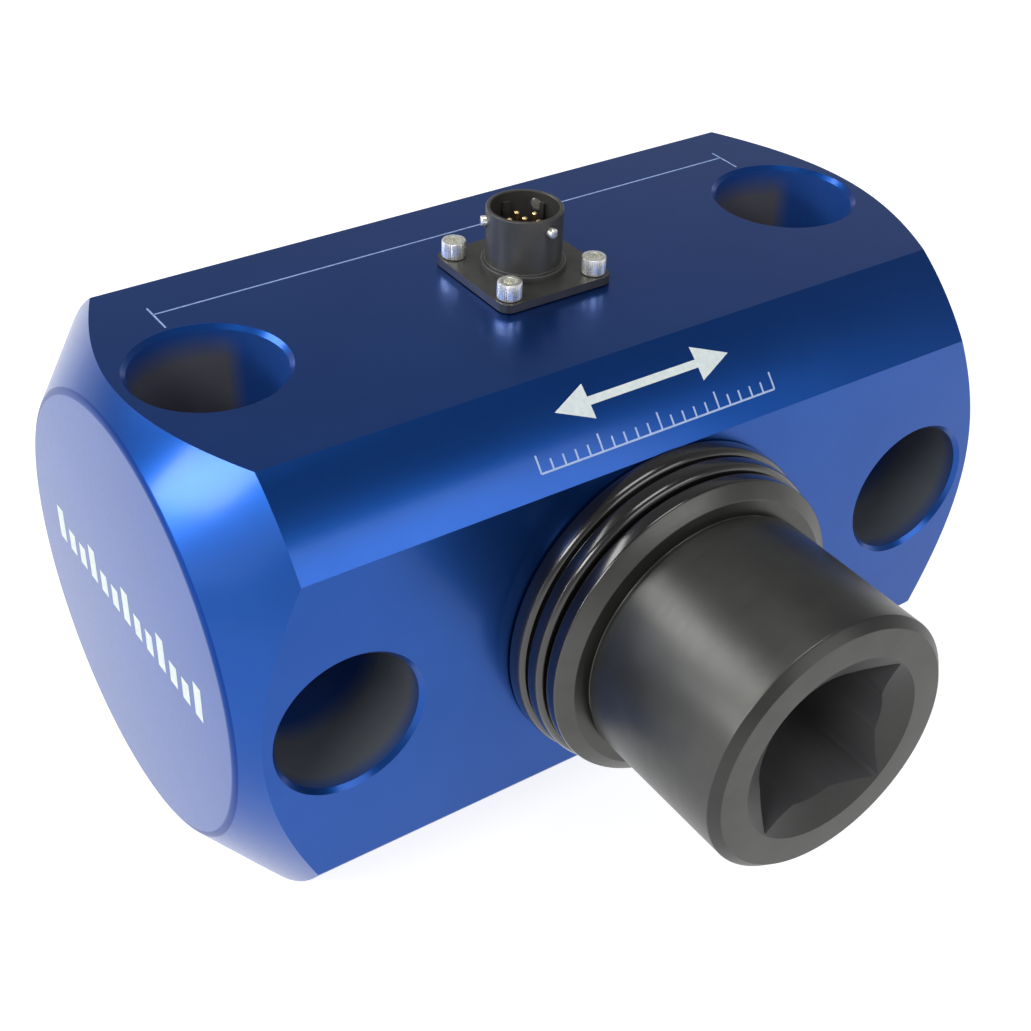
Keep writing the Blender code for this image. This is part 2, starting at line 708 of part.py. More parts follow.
def make_gauges():
    """Four strain gauges bonded round the waist."""
    inner = WAIST_DIAMETER / 2 + SEAT
    outer = inner + GAUGE_THICKNESS
    near = GAUGE_MIDDLE - GAUGE_LENGTH / 2
    far = GAUGE_MIDDLE + GAUGE_LENGTH / 2
    patch = [(inner, near), (outer, near), (outer, far), (inner, far)]
    upright = Matrix.Rotation(-math.pi / 2, 3, "X")
    for k in range(GAUGE_COUNT):
        name = f"strain_gauge_{k + 1}"
        gauge = turned(name, patch, look="gauge_foil", sides=GAUGE_STEPS, sweep=GAUGE_SPREAD)
        first = math.radians(360 / GAUGE_COUNT * k - GAUGE_SPREAD / 2)
        gauge.rotation_euler = (upright @ Matrix.Rotation(first, 3, "Z")).to_euler()


def make_board_and_leads():
    """Ring-shaped bridge board, and the sleeved leads that rise from it to the connector."""
    back = CHAMBER_END - FIT
    front = back - BOARD_THICKNESS
    hole = BOARD_INNER_DIAMETER / 2
    rim = BOARD_OUTER_DIAMETER / 2
    disc = [(hole, front), (rim, front), (rim, back), (hole, back)]
    turned("bridge_board", disc, look="board", sides=RING_SIDES)
    start = HALF + (hole + rim) / 2
    route = [(0, front - FIT, start)]
    for step in range(LEAD_BEND_STEPS + 1):
        angle = math.pi / 2 * step / LEAD_BEND_STEPS
        across = LEAD_BEND_START * (1 - math.sin(angle))
        rise = LEAD_BEND_RISE * (1 - math.cos(angle))
        route.append((0, across, start + rise))
    route.append((0, 0, PIN_BOTTOM - FIT))
    curve = bpy.data.curves.new("lead_bundle", "CURVE")
    curve.dimensions = "3D"
    curve.bevel_depth = LEAD_DIAMETER / 2 * MM
    curve.bevel_resolution = 2
    curve.use_fill_caps = True
    line = curve.splines.new("POLY")
    line.points.add(len(route) - 1)
    for point, place in zip(line.points, route):
        point.co = (*(Vector(place) * MM), 1.0)
    curve.materials.append(MATERIALS["lead_sleeve"])
    bundle = bpy.data.objects.new("lead_bundle", curve)
    bpy.context.scene.collection.objects.link(bundle)
    bundle.parent = ROOT


def make_shell():
    """Connector shell: square flange, barrel, boss in the pocket, and keys inside the mouth."""
    outline = square(CONNECTOR_FLANGE, CONNECTOR_FLANGE_CORNER)
    shell = prism("connector_shell", outline, TOP + SEAT, FLANGE_TOP, look="connector_black")
    combine(shell, turned_upright("add_barrel", barrel_outline()), "UNION")
    combine(shell, turned_upright("cut_mouth", mouth_outline()))
    add_keys(shell)
    hole = plain(CAP_SCREW_SHANK_DIAMETER / 2 + FIT, TOP - PAST, FLANGE_TOP + PAST)
    for k, (x, y) in enumerate(connector_screw_places()):
        combine(shell, turned_upright(f"drill_flange_{k + 1}", hole, x=x, y=y, sides=SMALL_SIDES))
    make_bayonet_pins(shell)


def barrel_outline():
    """Barrel with its foot ring, and the boss that reaches down into the housing's pocket."""
    barrel = BARREL_DIAMETER / 2
    foot = BARREL_FOOT_DIAMETER / 2
    boss = BOSS_DIAMETER / 2
    inside_flange = TOP + SEAT + CONNECTOR_FLANGE_THICKNESS / 2
    foot_top = FLANGE_TOP + BARREL_FOOT_HEIGHT
    corners = [
        (0, BOSS_BOTTOM, 0),
        (boss, BOSS_BOTTOM, BARREL_EDGE),
        (boss, inside_flange, 0),
        (foot, inside_flange, 0),
        (foot, foot_top, BARREL_FOOT_EDGE),
        (barrel, foot_top, 0),
        (barrel, BARREL_TOP, BARREL_EDGE),
        (0, BARREL_TOP, 0),
    ]
    return rounded(corners, 1)


def mouth_outline():
    """Bore for the insulator, and the wider mouth that takes the plug."""
    mouth = MOUTH_DIAMETER / 2
    bore = INSERT_BORE_DIAMETER / 2
    return [
        (0, BOSS_BOTTOM - PAST),
        (bore, BOSS_BOTTOM - PAST),
        (bore, MOUTH_FLOOR),
        (mouth, MOUTH_FLOOR),
        (mouth, BARREL_TOP - MOUTH_EDGE),
        (mouth + MOUTH_EDGE + PAST, BARREL_TOP + PAST),
        (0, BARREL_TOP + PAST),
    ]


def add_keys(shell):
    """Five keys inside the mouth, of which the first is the widest."""
    inner = MOUTH_DIAMETER / 2 - KEY_REACH
    outer = MOUTH_DIAMETER / 2 + KEY_REACH / 2
    for k, degrees in enumerate(KEY_ANGLES):
        side = (SIDE_KEY_WIDTH if k else MAIN_KEY_WIDTH) / 2
        rib = [(inner, -side), (outer, -side), (outer, side), (inner, side)]
        key = prism(f"add_key_{k + 1}", rib, MOUTH_FLOOR - KEY_ROOT, MOUTH_FLOOR + KEY_LENGTH)
        key.rotation_euler = (0, 0, math.radians(degrees))
        combine(shell, key, "UNION")


def make_bayonet_pins(shell):
    """Three pins set into the barrel, on which the plug's ring locks."""
    radius = BAYONET_DIAMETER / 2
    hole = plain(radius + SEAT, BAYONET_ROOT - FIT, BAYONET_REACH + PAST)
    corners = [(0, BAYONET_ROOT, 0), (radius, BAYONET_ROOT, 0)]
    corners += [(radius, BAYONET_REACH, BAYONET_EDGE), (0, BAYONET_REACH, 0)]
    for k in range(BAYONET_COUNT):
        combine(shell, radial_piece(f"drill_bayonet_{k + 1}", hole, None, k))
        radial_piece(f"bayonet_pin_{k + 1}", rounded(corners, 1), "bright_steel", k)


def radial_piece(name, outline, look, place):
    """A small turned piece that points out of the barrel at one of the bayonet places."""
    piece = turned(name, outline, look, at=(0, 0, BAYONET_HEIGHT), sides=FINE_SIDES)
    angle = math.radians(BAYONET_FIRST_ANGLE) + 2 * math.pi * place / BAYONET_COUNT
    piece.rotation_euler = (0, math.pi / 2, angle)
    return piece


def make_insert():
    """Moulded insulator with six contacts: one in the middle and five round it."""
    body_outline = plain(INSERT_BORE_DIAMETER / 2 - FIT, BOSS_BOTTOM + 1, INSERT_TOP)
    body = turned_upright("connector_insert", body_outline, "insert_plastic", sides=RING_SIDES)
    circle = on_circle(PIN_CIRCLE_RADIUS, PIN_COUNT - 1, PIN_FIRST_ANGLE)
    places = [(0.0, 0.0)] + [(x, y) for x, y, _ in circle]
    radius = PIN_DIAMETER / 2
    hole = plain(radius + FIT, BOSS_BOTTOM, INSERT_TOP + PAST)
    corners = [(0, PIN_BOTTOM, 0), (radius, PIN_BOTTOM, 0)]
    corners += [(radius, PIN_TOP, radius * PIN_POINT_SHARE), (0, PIN_TOP, 0)]
    for k, (x, y) in enumerate(places):
        combine(body, turned_upright(f"drill_contact_{k + 1}", hole, x=x, y=y, sides=FINE_SIDES))
        turned_upright(f"contact_pin_{k + 1}", rounded(corners, 1), "gold", x, y, FINE_SIDES)


def make_connector_fixings():
    """O-ring in the counterbore under the flange, and the four screws on it."""
    middle = (SEAL_COUNTERBORE_DIAMETER + BOSS_DIAMETER) / 4
    seal = round_section(middle, CONNECTOR_SEAL_SECTION, TOP - SEAL_COUNTERBORE_DEPTH / 2)
    turned_upright("connector_o_ring", seal, "rubber", sides=RING_SIDES)
    size = (CAP_SCREW_HEAD_DIAMETER, CAP_SCREW_HEAD_HEIGHT, CAP_SCREW_SHANK_DIAMETER)
    for k, (x, y) in enumerate(connector_screw_places()):
        name = f"connector_screw_{k + 1}"
        cap_screw(name, size, FLANGE_TOP + SEAT, CAP_SCREW_TIP, "bright_steel", (x, y, 0), "Z")


clear_scene()
MATERIALS = make_materials()
ROOT = bpy.data.objects.new("torque_transducer", None)
bpy.context.scene.collection.objects.link(ROOT)

make_housing()
make_shaft()
make_collar()
make_shaft_seal()
make_bearing()
make_anchor()
make_retainer()
make_gauges()
make_board_and_leads()
make_shell()
make_insert()
make_connector_fixings()
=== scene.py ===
"""Looks of the torque transducer: camera, lights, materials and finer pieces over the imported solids.

X runs along the block, -Y is the drive side, Z is up. Sizes are millimetres, and MM turns them into
metres. The first sizes are those of the solids that the finer pieces stand for.
"""

import math

import bmesh
import bpy
from mathutils import Matrix, Vector


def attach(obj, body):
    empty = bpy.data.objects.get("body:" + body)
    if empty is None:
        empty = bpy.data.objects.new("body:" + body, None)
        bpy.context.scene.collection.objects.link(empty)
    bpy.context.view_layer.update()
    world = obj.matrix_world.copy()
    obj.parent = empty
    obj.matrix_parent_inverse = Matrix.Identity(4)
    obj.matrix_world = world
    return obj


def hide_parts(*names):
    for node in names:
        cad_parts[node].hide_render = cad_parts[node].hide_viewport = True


MM = 0.001

# Housing
BAR_DIAMETER = 110.0
ACROSS_FLATS = 90.0
HOUSING_LENGTH = 165.0
END_FACE_DIAMETER = 82.0
END_CONE_LENGTH = 12.0
MOUNT_HOLE_DIAMETER = 27.0
MOUNT_HOLE_SPACING = 126.0
HOLE_EDGE_BREAK = 0.8
COLLAR_THREAD_DIAMETER = 58.0
BEARING_SEAT_END = -28.0
CHAMBER_DIAMETER = 53.0
CHAMBER_END = 8.0
WEB_BORE_DIAMETER = 40.0
ANCHOR_RECESS_DIAMETER = 60.6
ANCHOR_RECESS_FLOOR = 28.7
CONNECTOR_POCKET_DIAMETER = 14.0
CONNECTOR_POCKET_FLOOR = 80.0
LEAD_PASSAGE_DIAMETER = 9.0
SEAL_COUNTERBORE_DIAMETER = 19.2
SEAL_COUNTERBORE_DEPTH = 1.6

# Shaft
SOCKET_DIAMETER = 50.0
SOCKET_END = -92.0
SOCKET_EDGE = 1.6
DRIVE_SQUARE = 25.4
DRIVE_DEPTH = 30.0
DRIVE_PILOT_DIAMETER = 26.6
DRIVE_PILOT_DEPTH = 33.0
DRIVE_MOUTH_DIAMETER = 36.0
DRIVE_MOUTH_SLOPE = 30.0
FLANGE_DIAMETER = 60.4
FLANGE_BACK = -53.2
FLANGE_FRONT = -58.0
FLANGE_SLOPE_RADIUS = 27.4
FLANGE_SLOPE_DEPTH = 1.9
FLANGE_FRONT_RADIUS = 0.6
FLANGE_BACK_RADIUS = 0.9
ROOT_GROOVE_DIAMETER = 48.4
ROOT_GROOVE_WIDTH = 1.4
SEAL_JOURNAL_DIAMETER = 45.0
BEARING_JOURNAL_DIAMETER = 40.0
JOURNAL_FRONT = -37.1
WAIST_DIAMETER = 32.0
WAIST_FRONT = -23.0
WAIST_BACK = 14.0
WAIST_FILLET = 3.4
REAR_SHOULDER_DIAMETER = 39.0
REAR_SQUARE = 26.0
REAR_SQUARE_CORNERS = 35.0
REAR_SQUARE_LENGTH = 7.8

# Collar
COLLAR_DIAMETER = 64.0
COLLAR_RING_RADIUS = 1.3
COLLAR_BEAD_DIAMETER = 62.4
COLLAR_BEAD_RADIUS = 1.2
COLLAR_GROOVE_DIAMETER = 60.4
COLLAR_FRONT = -52.8
COLLAR_BEAD_BACK = -49.7
COLLAR_RING_FRONT = -48.9
COLLAR_SPIGOT_END = -37.3
FACE_GROOVE_INSET = 0.9
FACE_GROOVE_DEPTH = 1.7
SEAL_POCKET_DIAMETER = 54.6
SEAL_POCKET_FLOOR = -43.4
COLLAR_BORE_DIAMETER = 46.4

# Anchor
ANCHOR_PLATE_DIAMETER = 60.0
ANCHOR_FACE = 44.7
ANCHOR_PLATE_EDGE = 0.5
WASHER_POCKET_EDGE = 0.3
WASHER_POCKET_DIAMETER = 38.8
WASHER_POCKET_FLOOR = 37.0
ANCHOR_CIRCLE_RADIUS = 24.6
ANCHOR_SCREW_COUNT = 4
ANCHOR_DOWEL_TURN = 45.0
ANCHOR_HEAD_DIAMETER = 8.5
ANCHOR_HEAD_HEIGHT = 5.0
ANCHOR_SHANK_DIAMETER = 4.8
ANCHOR_SCREW_TIP = 15.0
DOWEL_DIAMETER = 6.0
DOWEL_FRONT = 17.5
DOWEL_BACK = 43.4
DOWEL_EDGE = 0.6
RETAINING_HEAD_DIAMETER = 13.0
RETAINING_HEAD_HEIGHT = 4.8
RETAINING_SHANK_DIAMETER = 7.6
RETAINING_TIP = 18.0
WASHER_DIAMETER = 38.0
WASHER_THICKNESS = 2.4
WASHER_EDGE = 0.4

# Connector
CONNECTOR_FLANGE = 23.8
CONNECTOR_FLANGE_THICKNESS = 1.6
CONNECTOR_FLANGE_CORNER = 2.2
CONNECTOR_SCREW_SPACING = 18.26
BARREL_DIAMETER = 14.0
BARREL_TOP = 103.4
BARREL_EDGE = 0.3
BARREL_FOOT_DIAMETER = 15.6
BARREL_FOOT_HEIGHT = 1.3
MOUTH_DIAMETER = 12.5
MOUTH_EDGE = 0.15
MOUTH_FLOOR = 95.0
BOSS_DIAMETER = 13.2
BOSS_BOTTOM = 81.5
INSERT_BORE_DIAMETER = 10.4
INSERT_BOTTOM = 82.5
INSERT_TOP = 96.6
KEY_ANGLES = (90, 170, 232, 286, 23)
KEY_LENGTH = 6.6
KEY_ROOT = 0.5
KEY_REACH = 0.6
MAIN_KEY_WIDTH = 1.6
SIDE_KEY_WIDTH = 0.9
PIN_DIAMETER = 1.1
PIN_TOP = 101.2
PIN_BOTTOM = 82.6
PIN_CIRCLE_RADIUS = 2.75
PIN_FIRST_ANGLE = 87.0
PIN_COUNT = 6
PIN_POINT_SHARE = 0.8
BAYONET_COUNT = 3
BAYONET_DIAMETER = 1.9
BAYONET_REACH = 8.0
BAYONET_ROOT = 6.4
BAYONET_EDGE = 0.3
BAYONET_HEIGHT = 100.9
BAYONET_FIRST_ANGLE = 277.0
CAP_SCREW_HEAD_DIAMETER = 4.5
CAP_SCREW_HEAD_HEIGHT = 3.1
CAP_SCREW_SHANK_DIAMETER = 2.6
CAP_SCREW_TIP = 83.0

# Clearances between neighbours, how far a cutter reaches past the face that it cuts, and how far a
# hole runs on beyond its screw
FIT = 0.3
SEAT = 0.2
PAST = 2.0
SPARE_DEPTH = 1.0

# Edges and corners that only the finer pieces have
END_EDGE = 2.4
FLAT_EDGE = 0.35
FINE_EDGE = 0.2
TURNED_EDGE = 0.5
SQUARE_CORNER = 0.7
KNURL_COUNT = 36
HEX_SHARE = 0.5
HEX_DEPTH_SHARE = 0.55
HEAD_EDGE_SHARE = 0.12
SHARP = math.radians(28)
SHARP_ON_SOLIDS = math.radians(50)

# Sides of round shapes
BAR_SIDES = 288
TURNED_SIDES = 192
BARREL_SIDES = 112
SMALL_SIDES = 32

# Marks on the housing
INK = 0.01
LINE_WIDTH = 0.35
CENTRE_LINE_Y = 20.4
CENTRE_LINE_X = 63.6
CENTRE_LINE_START = 15.2
CENTRE_LINE_OVERSHOOT = 2.6
STRIP_LEAN = 45.0
ARROW_HALF = 18.5
ARROW_HEIGHT = 3.0
ARROW_WEIGHT = 1.5
ARROW_HEAD_LENGTH = 7.0
ARROW_HEAD_WIDTH = 6.4
SCALE_HALF = 25.0
SCALE_HEIGHT = -5.8
SCALE_STEPS = 20
SCALE_LONG_EVERY = 5
SCALE_TICK = 2.0
SCALE_LONG_TICK = 3.2
END_MARK_HALF = 29.0
END_MARK_STEPS = 12
END_MARK_LONG_EVERY = 3
END_MARK_HEIGHT = 43.5
END_MARK_TICK = 4.6
END_MARK_LONG_TICK = 7.2
END_MARK_WIDTH = 2.8

HALF = ACROSS_FLATS / 2
TOP = ACROSS_FLATS
FLANGE_TOP = TOP + SEAT + CONNECTOR_FLANGE_THICKNESS
AXIS_POINT = (0.0, 0.0, HALF)
TURN_TO = {
    "X": Matrix.Rotation(math.pi / 2, 4, "Y"),
    "Y": Matrix.Rotation(-math.pi / 2, 4, "X"),
    "Z": Matrix.Identity(4),
}


# Shapes


def rounded(corners, steps=5):
    """Corners (x, y, radius) in order, to an outline with an arc at each corner whose radius isn't 0."""
    outline = []
    for i, (x, y, radius) in enumerate(corners):
        here = Vector((x, y))
        if not radius:
            outline.append((x, y))
            continue
        before = (Vector(corners[i - 1][:2]) - here).normalized()
        after = (Vector(corners[(i + 1) % len(corners)][:2]) - here).normalized()
        half_angle = before.angle(after) / 2
        centre = here + (before + after).normalized() * radius / math.sin(half_angle)
        reach = radius / math.tan(half_angle)
        first = here + before * reach - centre
        last = here + after * reach - centre
        start = math.atan2(first.y, first.x)
        turn = math.remainder(math.atan2(last.y, last.x) - start, 2 * math.pi)
        for step in range(steps + 1):
            angle = start + turn * step / steps
            outline.append((centre.x + radius * math.cos(angle), centre.y + radius * math.sin(angle)))
    return outline


def to_object(name, shape, place=Matrix.Identity(4)):
    """A bmesh in millimetres becomes an object at the origin, with its place in its mesh."""
    bmesh.ops.transform(shape, matrix=place, verts=shape.verts)
    bmesh.ops.recalc_face_normals(shape, faces=shape.faces)
    bmesh.ops.scale(shape, vec=(MM, MM, MM), verts=shape.verts)
    mesh = bpy.data.meshes.new(name)
    shape.to_mesh(mesh)
    shape.free()
    made = bpy.data.objects.new(name, mesh)
    bpy.context.scene.collection.objects.link(made)
    shade(made)
    return made


def shade(piece):
    piece.data.shade_smooth()
    piece.data.set_sharp_from_angle(angle=SHARP)


def turned(name, outline, at=AXIS_POINT, axis="Y", sides=TURNED_SIDES):
    """A closed outline of (radius, station) points, spun round the chosen axis."""
    shape = bmesh.new()
    points = [shape.verts.new((radius, 0.0, station)) for radius, station in outline]
    edges = []
    for here, after in zip(points, points[1:] + points[:1]):
        if here.co.x > 0 or after.co.x > 0:
            edges.append(shape.edges.new((here, after)))
    spun = points + edges
    bmesh.ops.spin(shape, geom=spun, axis=(0, 0, 1), angle=2 * math.pi, steps=sides, use_merge=True)
    bmesh.ops.remove_doubles(shape, verts=shape.verts, dist=1e-4)
    return to_object(name, shape, Matrix.Translation(at) @ TURN_TO[axis])


def turned_upright(name, outline, x=0.0, y=0.0, sides=BARREL_SIDES):
    """The same on a vertical axis, with stations as heights over the bottom flat."""
    return turned(name, outline, (x, y, 0.0), "Z", sides)


def plain(radius, start, end):
    """Outline of a plain cylinder between two stations."""
    return [(0, start), (radius, start), (radius, end), (0, end)]


def prism(name, outline, bottom, top, at=(0, 0, 0), axis="Z", turn=0.0):
    """An outline in the plane, extruded from one height to another."""
    shape = bmesh.new()
    base = shape.faces.new([shape.verts.new((x, y, bottom)) for x, y in outline])
    grown = bmesh.ops.extrude_face_region(shape, geom=[base])["geom"]
    moved = [element for element in grown if isinstance(element, bmesh.types.BMVert)]
    bmesh.ops.translate(shape, vec=(0, 0, top - bottom), verts=moved)
    spin = Matrix.Rotation(math.radians(turn), 4, "Z")
    return to_object(name, shape, Matrix.Translation(at) @ TURN_TO[axis] @ spin)


def square(side, corner=0.0):
    half = side / 2
    signs = ((1, -1), (1, 1), (-1, 1), (-1, -1))
    return rounded([(half * x, half * y, corner) for x, y in signs])


def on_circle(radius, count, first=0.0):
    """Points of the plane, evenly round a circle, with their angles."""
    for k in range(count):
        angle = math.radians(first) + 2 * math.pi * k / count
        yield radius * math.cos(angle), radius * math.sin(angle), angle


def hexagon(across):
    return [(x, y) for x, y, _ in on_circle(across / math.sqrt(3), 6)]


def combine(target, tool, operation="DIFFERENCE"):
    modifier = target.modifiers.new(tool.name, "BOOLEAN")
    modifier.operation = operation
    modifier.solver = "EXACT"
    modifier.object = tool


def settle(piece):
    """Makes the Booleans part of the mesh and removes their tools."""
    tools = [modifier.object for modifier in piece.modifiers]
    graph = bpy.context.evaluated_depsgraph_get()
    mesh = bpy.data.meshes.new_from_object(piece.evaluated_get(graph))
    piece.modifiers.clear()
    piece.data = mesh
    for tool in tools:
        bpy.data.objects.remove(tool)
    shade(piece)
    return piece


def soften_edges(piece, width, wanted):
    """A small rounding on the sharp edges whose middle, in millimetres, is wanted."""
    shape = bmesh.new()
    shape.from_mesh(piece.data)
    weights = shape.edges.layers.float.new("bevel_weight_edge")
    for edge in shape.edges:
        if len(edge.link_faces) != 2 or edge.calc_face_angle(0) < SHARP:
            continue
        middle = (edge.verts[0].co + edge.verts[1].co) / 2 / MM
        if wanted(middle):
            edge[weights] = 1.0
    shape.to_mesh(piece.data)
    shape.free()
    bevel = piece.modifiers.new("soft_edges", "BEVEL")
    bevel.limit_method = "WEIGHT"
    bevel.width = width * MM
    bevel.segments = 3
    bevel.harden_normals = True
    bevel.use_clamp_overlap = True


# Materials

LOOKS = {}


def material_of(name, colour, roughness, metallic, **more):
    """A Principled material, whose further sockets are named by keywords with _ for a space."""
    made = bpy.data.materials.new(name)
    made.use_nodes = True
    shader = made.node_tree.nodes["Principled BSDF"]
    shader.inputs["Base Color"].default_value = (*colour, 1.0)
    shader.inputs["Roughness"].default_value = roughness
    shader.inputs["Metallic"].default_value = metallic
    for key, value in more.items():
        shader.inputs[key.replace("_", " ")].default_value = value
    LOOKS[name] = made
    return made


def noise_of(made, scale, detail=3.0, roughness=0.6):
    """A noise over the object's own coordinates. A scale of three numbers stretches it."""
    nodes = made.node_tree.nodes
    links = made.node_tree.links
    place = nodes.new("ShaderNodeTexCoord")
    stretch = nodes.new("ShaderNodeMapping")
    stretch.inputs["Scale"].default_value = scale if isinstance(scale, tuple) else (scale,) * 3
    noise = nodes.new("ShaderNodeTexNoise")
    noise.inputs["Scale"].default_value = 1.0
    noise.inputs["Detail"].default_value = detail
    noise.inputs["Roughness"].default_value = roughness
    links.new(place.outputs["Object"], stretch.inputs["Vector"])
    links.new(stretch.outputs["Vector"], noise.inputs["Vector"])
    return noise


def remap(made, source, low, high, source_low=0.3, source_high=0.7):
    spread = made.node_tree.nodes.new("ShaderNodeMapRange")
    spread.inputs["From Min"].default_value = source_low
    spread.inputs["From Max"].default_value = source_high
    spread.inputs["To Min"].default_value = low
    spread.inputs["To Max"].default_value = high
    made.node_tree.links.new(source, spread.inputs["Value"])
    return spread.outputs["Result"]


def vary_roughness(made, scale, low, high, **more):
    noise = noise_of(made, scale, **more)
    shader = made.node_tree.nodes["Principled BSDF"]
    made.node_tree.links.new(remap(made, noise.outputs["Fac"], low, high), shader.inputs["Roughness"])


def mix_colours(made, factor, first, second):
    """Links a blend of two colours to the shader. A colour is a tuple or another node's output."""
    nodes = made.node_tree.nodes
    links = made.node_tree.links
    mix = nodes.new("ShaderNodeMix")
    mix.data_type = "RGBA"
    links.new(factor, mix.inputs["Factor"])
    for socket, colour in (("A", first), ("B", second)):
        if isinstance(colour, tuple):
            mix.inputs[socket].default_value = (*colour, 1.0)
        else:
            links.new(colour, mix.inputs[socket])
    links.new(mix.outputs["Result"], nodes["Principled BSDF"].inputs["Base Color"])
    return mix.outputs["Result"]


def vary_colour(made, scale, first, second, **more):
    noise = noise_of(made, scale, **more)
    return mix_colours(made, remap(made, noise.outputs["Fac"], 0.0, 1.0), first, second)


def add_bump(made, scale, height, **more):
    """Grain or tool marks with a real height in millimetres."""
    nodes = made.node_tree.nodes
    links = made.node_tree.links
    shader = nodes["Principled BSDF"]
    bump = nodes.new("ShaderNodeBump")
    bump.inputs["Distance"].default_value = height * MM
    bump.inputs["Strength"].default_value = 1.0
    links.new(noise_of(made, scale, **more).outputs["Fac"], bump.inputs["Height"])
    if shader.inputs["Normal"].is_linked:
        links.new(shader.inputs["Normal"].links[0].from_socket, bump.inputs["Normal"])
    links.new(bump.outputs["Normal"], shader.inputs["Normal"])


def calculate(made, operation, first, second=None):
    """A Math node. Each input is a number or another node's output."""
    node = made.node_tree.nodes.new("ShaderNodeMath")
    node.operation = operation
    for socket, value in zip(node.inputs, (first, second)):
        if isinstance(value, (int, float)):
            socket.default_value = value
        elif value is not None:
            made.node_tree.links.new(value, socket)
    return node.outputs["Value"]


def place_in_bore(made):
    """How deep a point of a hole's wall lies under its flat, and how far along X from the hole's axis."""
    nodes = made.node_tree.nodes
    place = nodes.new("ShaderNodeTexCoord")
    parts = nodes.new("ShaderNodeSeparateXYZ")
    made.node_tree.links.new(place.outputs["Object"], parts.inputs["Vector"])
    sideways = calculate(made, "ABSOLUTE", parts.outputs["Y"])
    upward = calculate(made, "ABSOLUTE", calculate(made, "SUBTRACT", parts.outputs["Z"], HALF * MM))
    depth = calculate(made, "SUBTRACT", HALF * MM, calculate(made, "MAXIMUM", sideways, upward))
    end = calculate(made, "SIGN", parts.outputs["X"])
    axis = calculate(made, "MULTIPLY", end, MOUNT_HOLE_SPACING / 2 * MM)
    return depth, calculate(made, "SUBTRACT", parts.outputs["X"], axis)


def make_bore(name, dark, shaded, painted_light_range, by_depth):
    """A hole's wall: blue by the mouth, painted shade over the first range of depths, and painted light
    that turns it blue again over the second range, which runs along the depth or else along X."""
    bore = material_of(name, (0.010, 0.062, 0.29), 0.45, 0.2)
    walls = vary_colour(bore, 60.0, (0.009, 0.058, 0.28), (0.011, 0.066, 0.30))
    depth, side = place_in_bore(bore)
    into_shade = remap(bore, depth, 0.0, 1.0, shaded[0] * MM, shaded[1] * MM)
    out_of_shade = remap(bore, depth if by_depth else side, 1.0, 0.0, painted_light_range[0] * MM, painted_light_range[1] * MM)
    # Painted shade: the wall turns dark grey deeper in; painted light: it turns blue again where a lamp
    # would light it.
    mix_colours(bore, calculate(bore, "MULTIPLY", into_shade, out_of_shade), walls, dark)
    vary_roughness(bore, (90.0, 900.0, 900.0), 0.38, 0.52)
    add_bump(bore, 2000.0, 0.003)


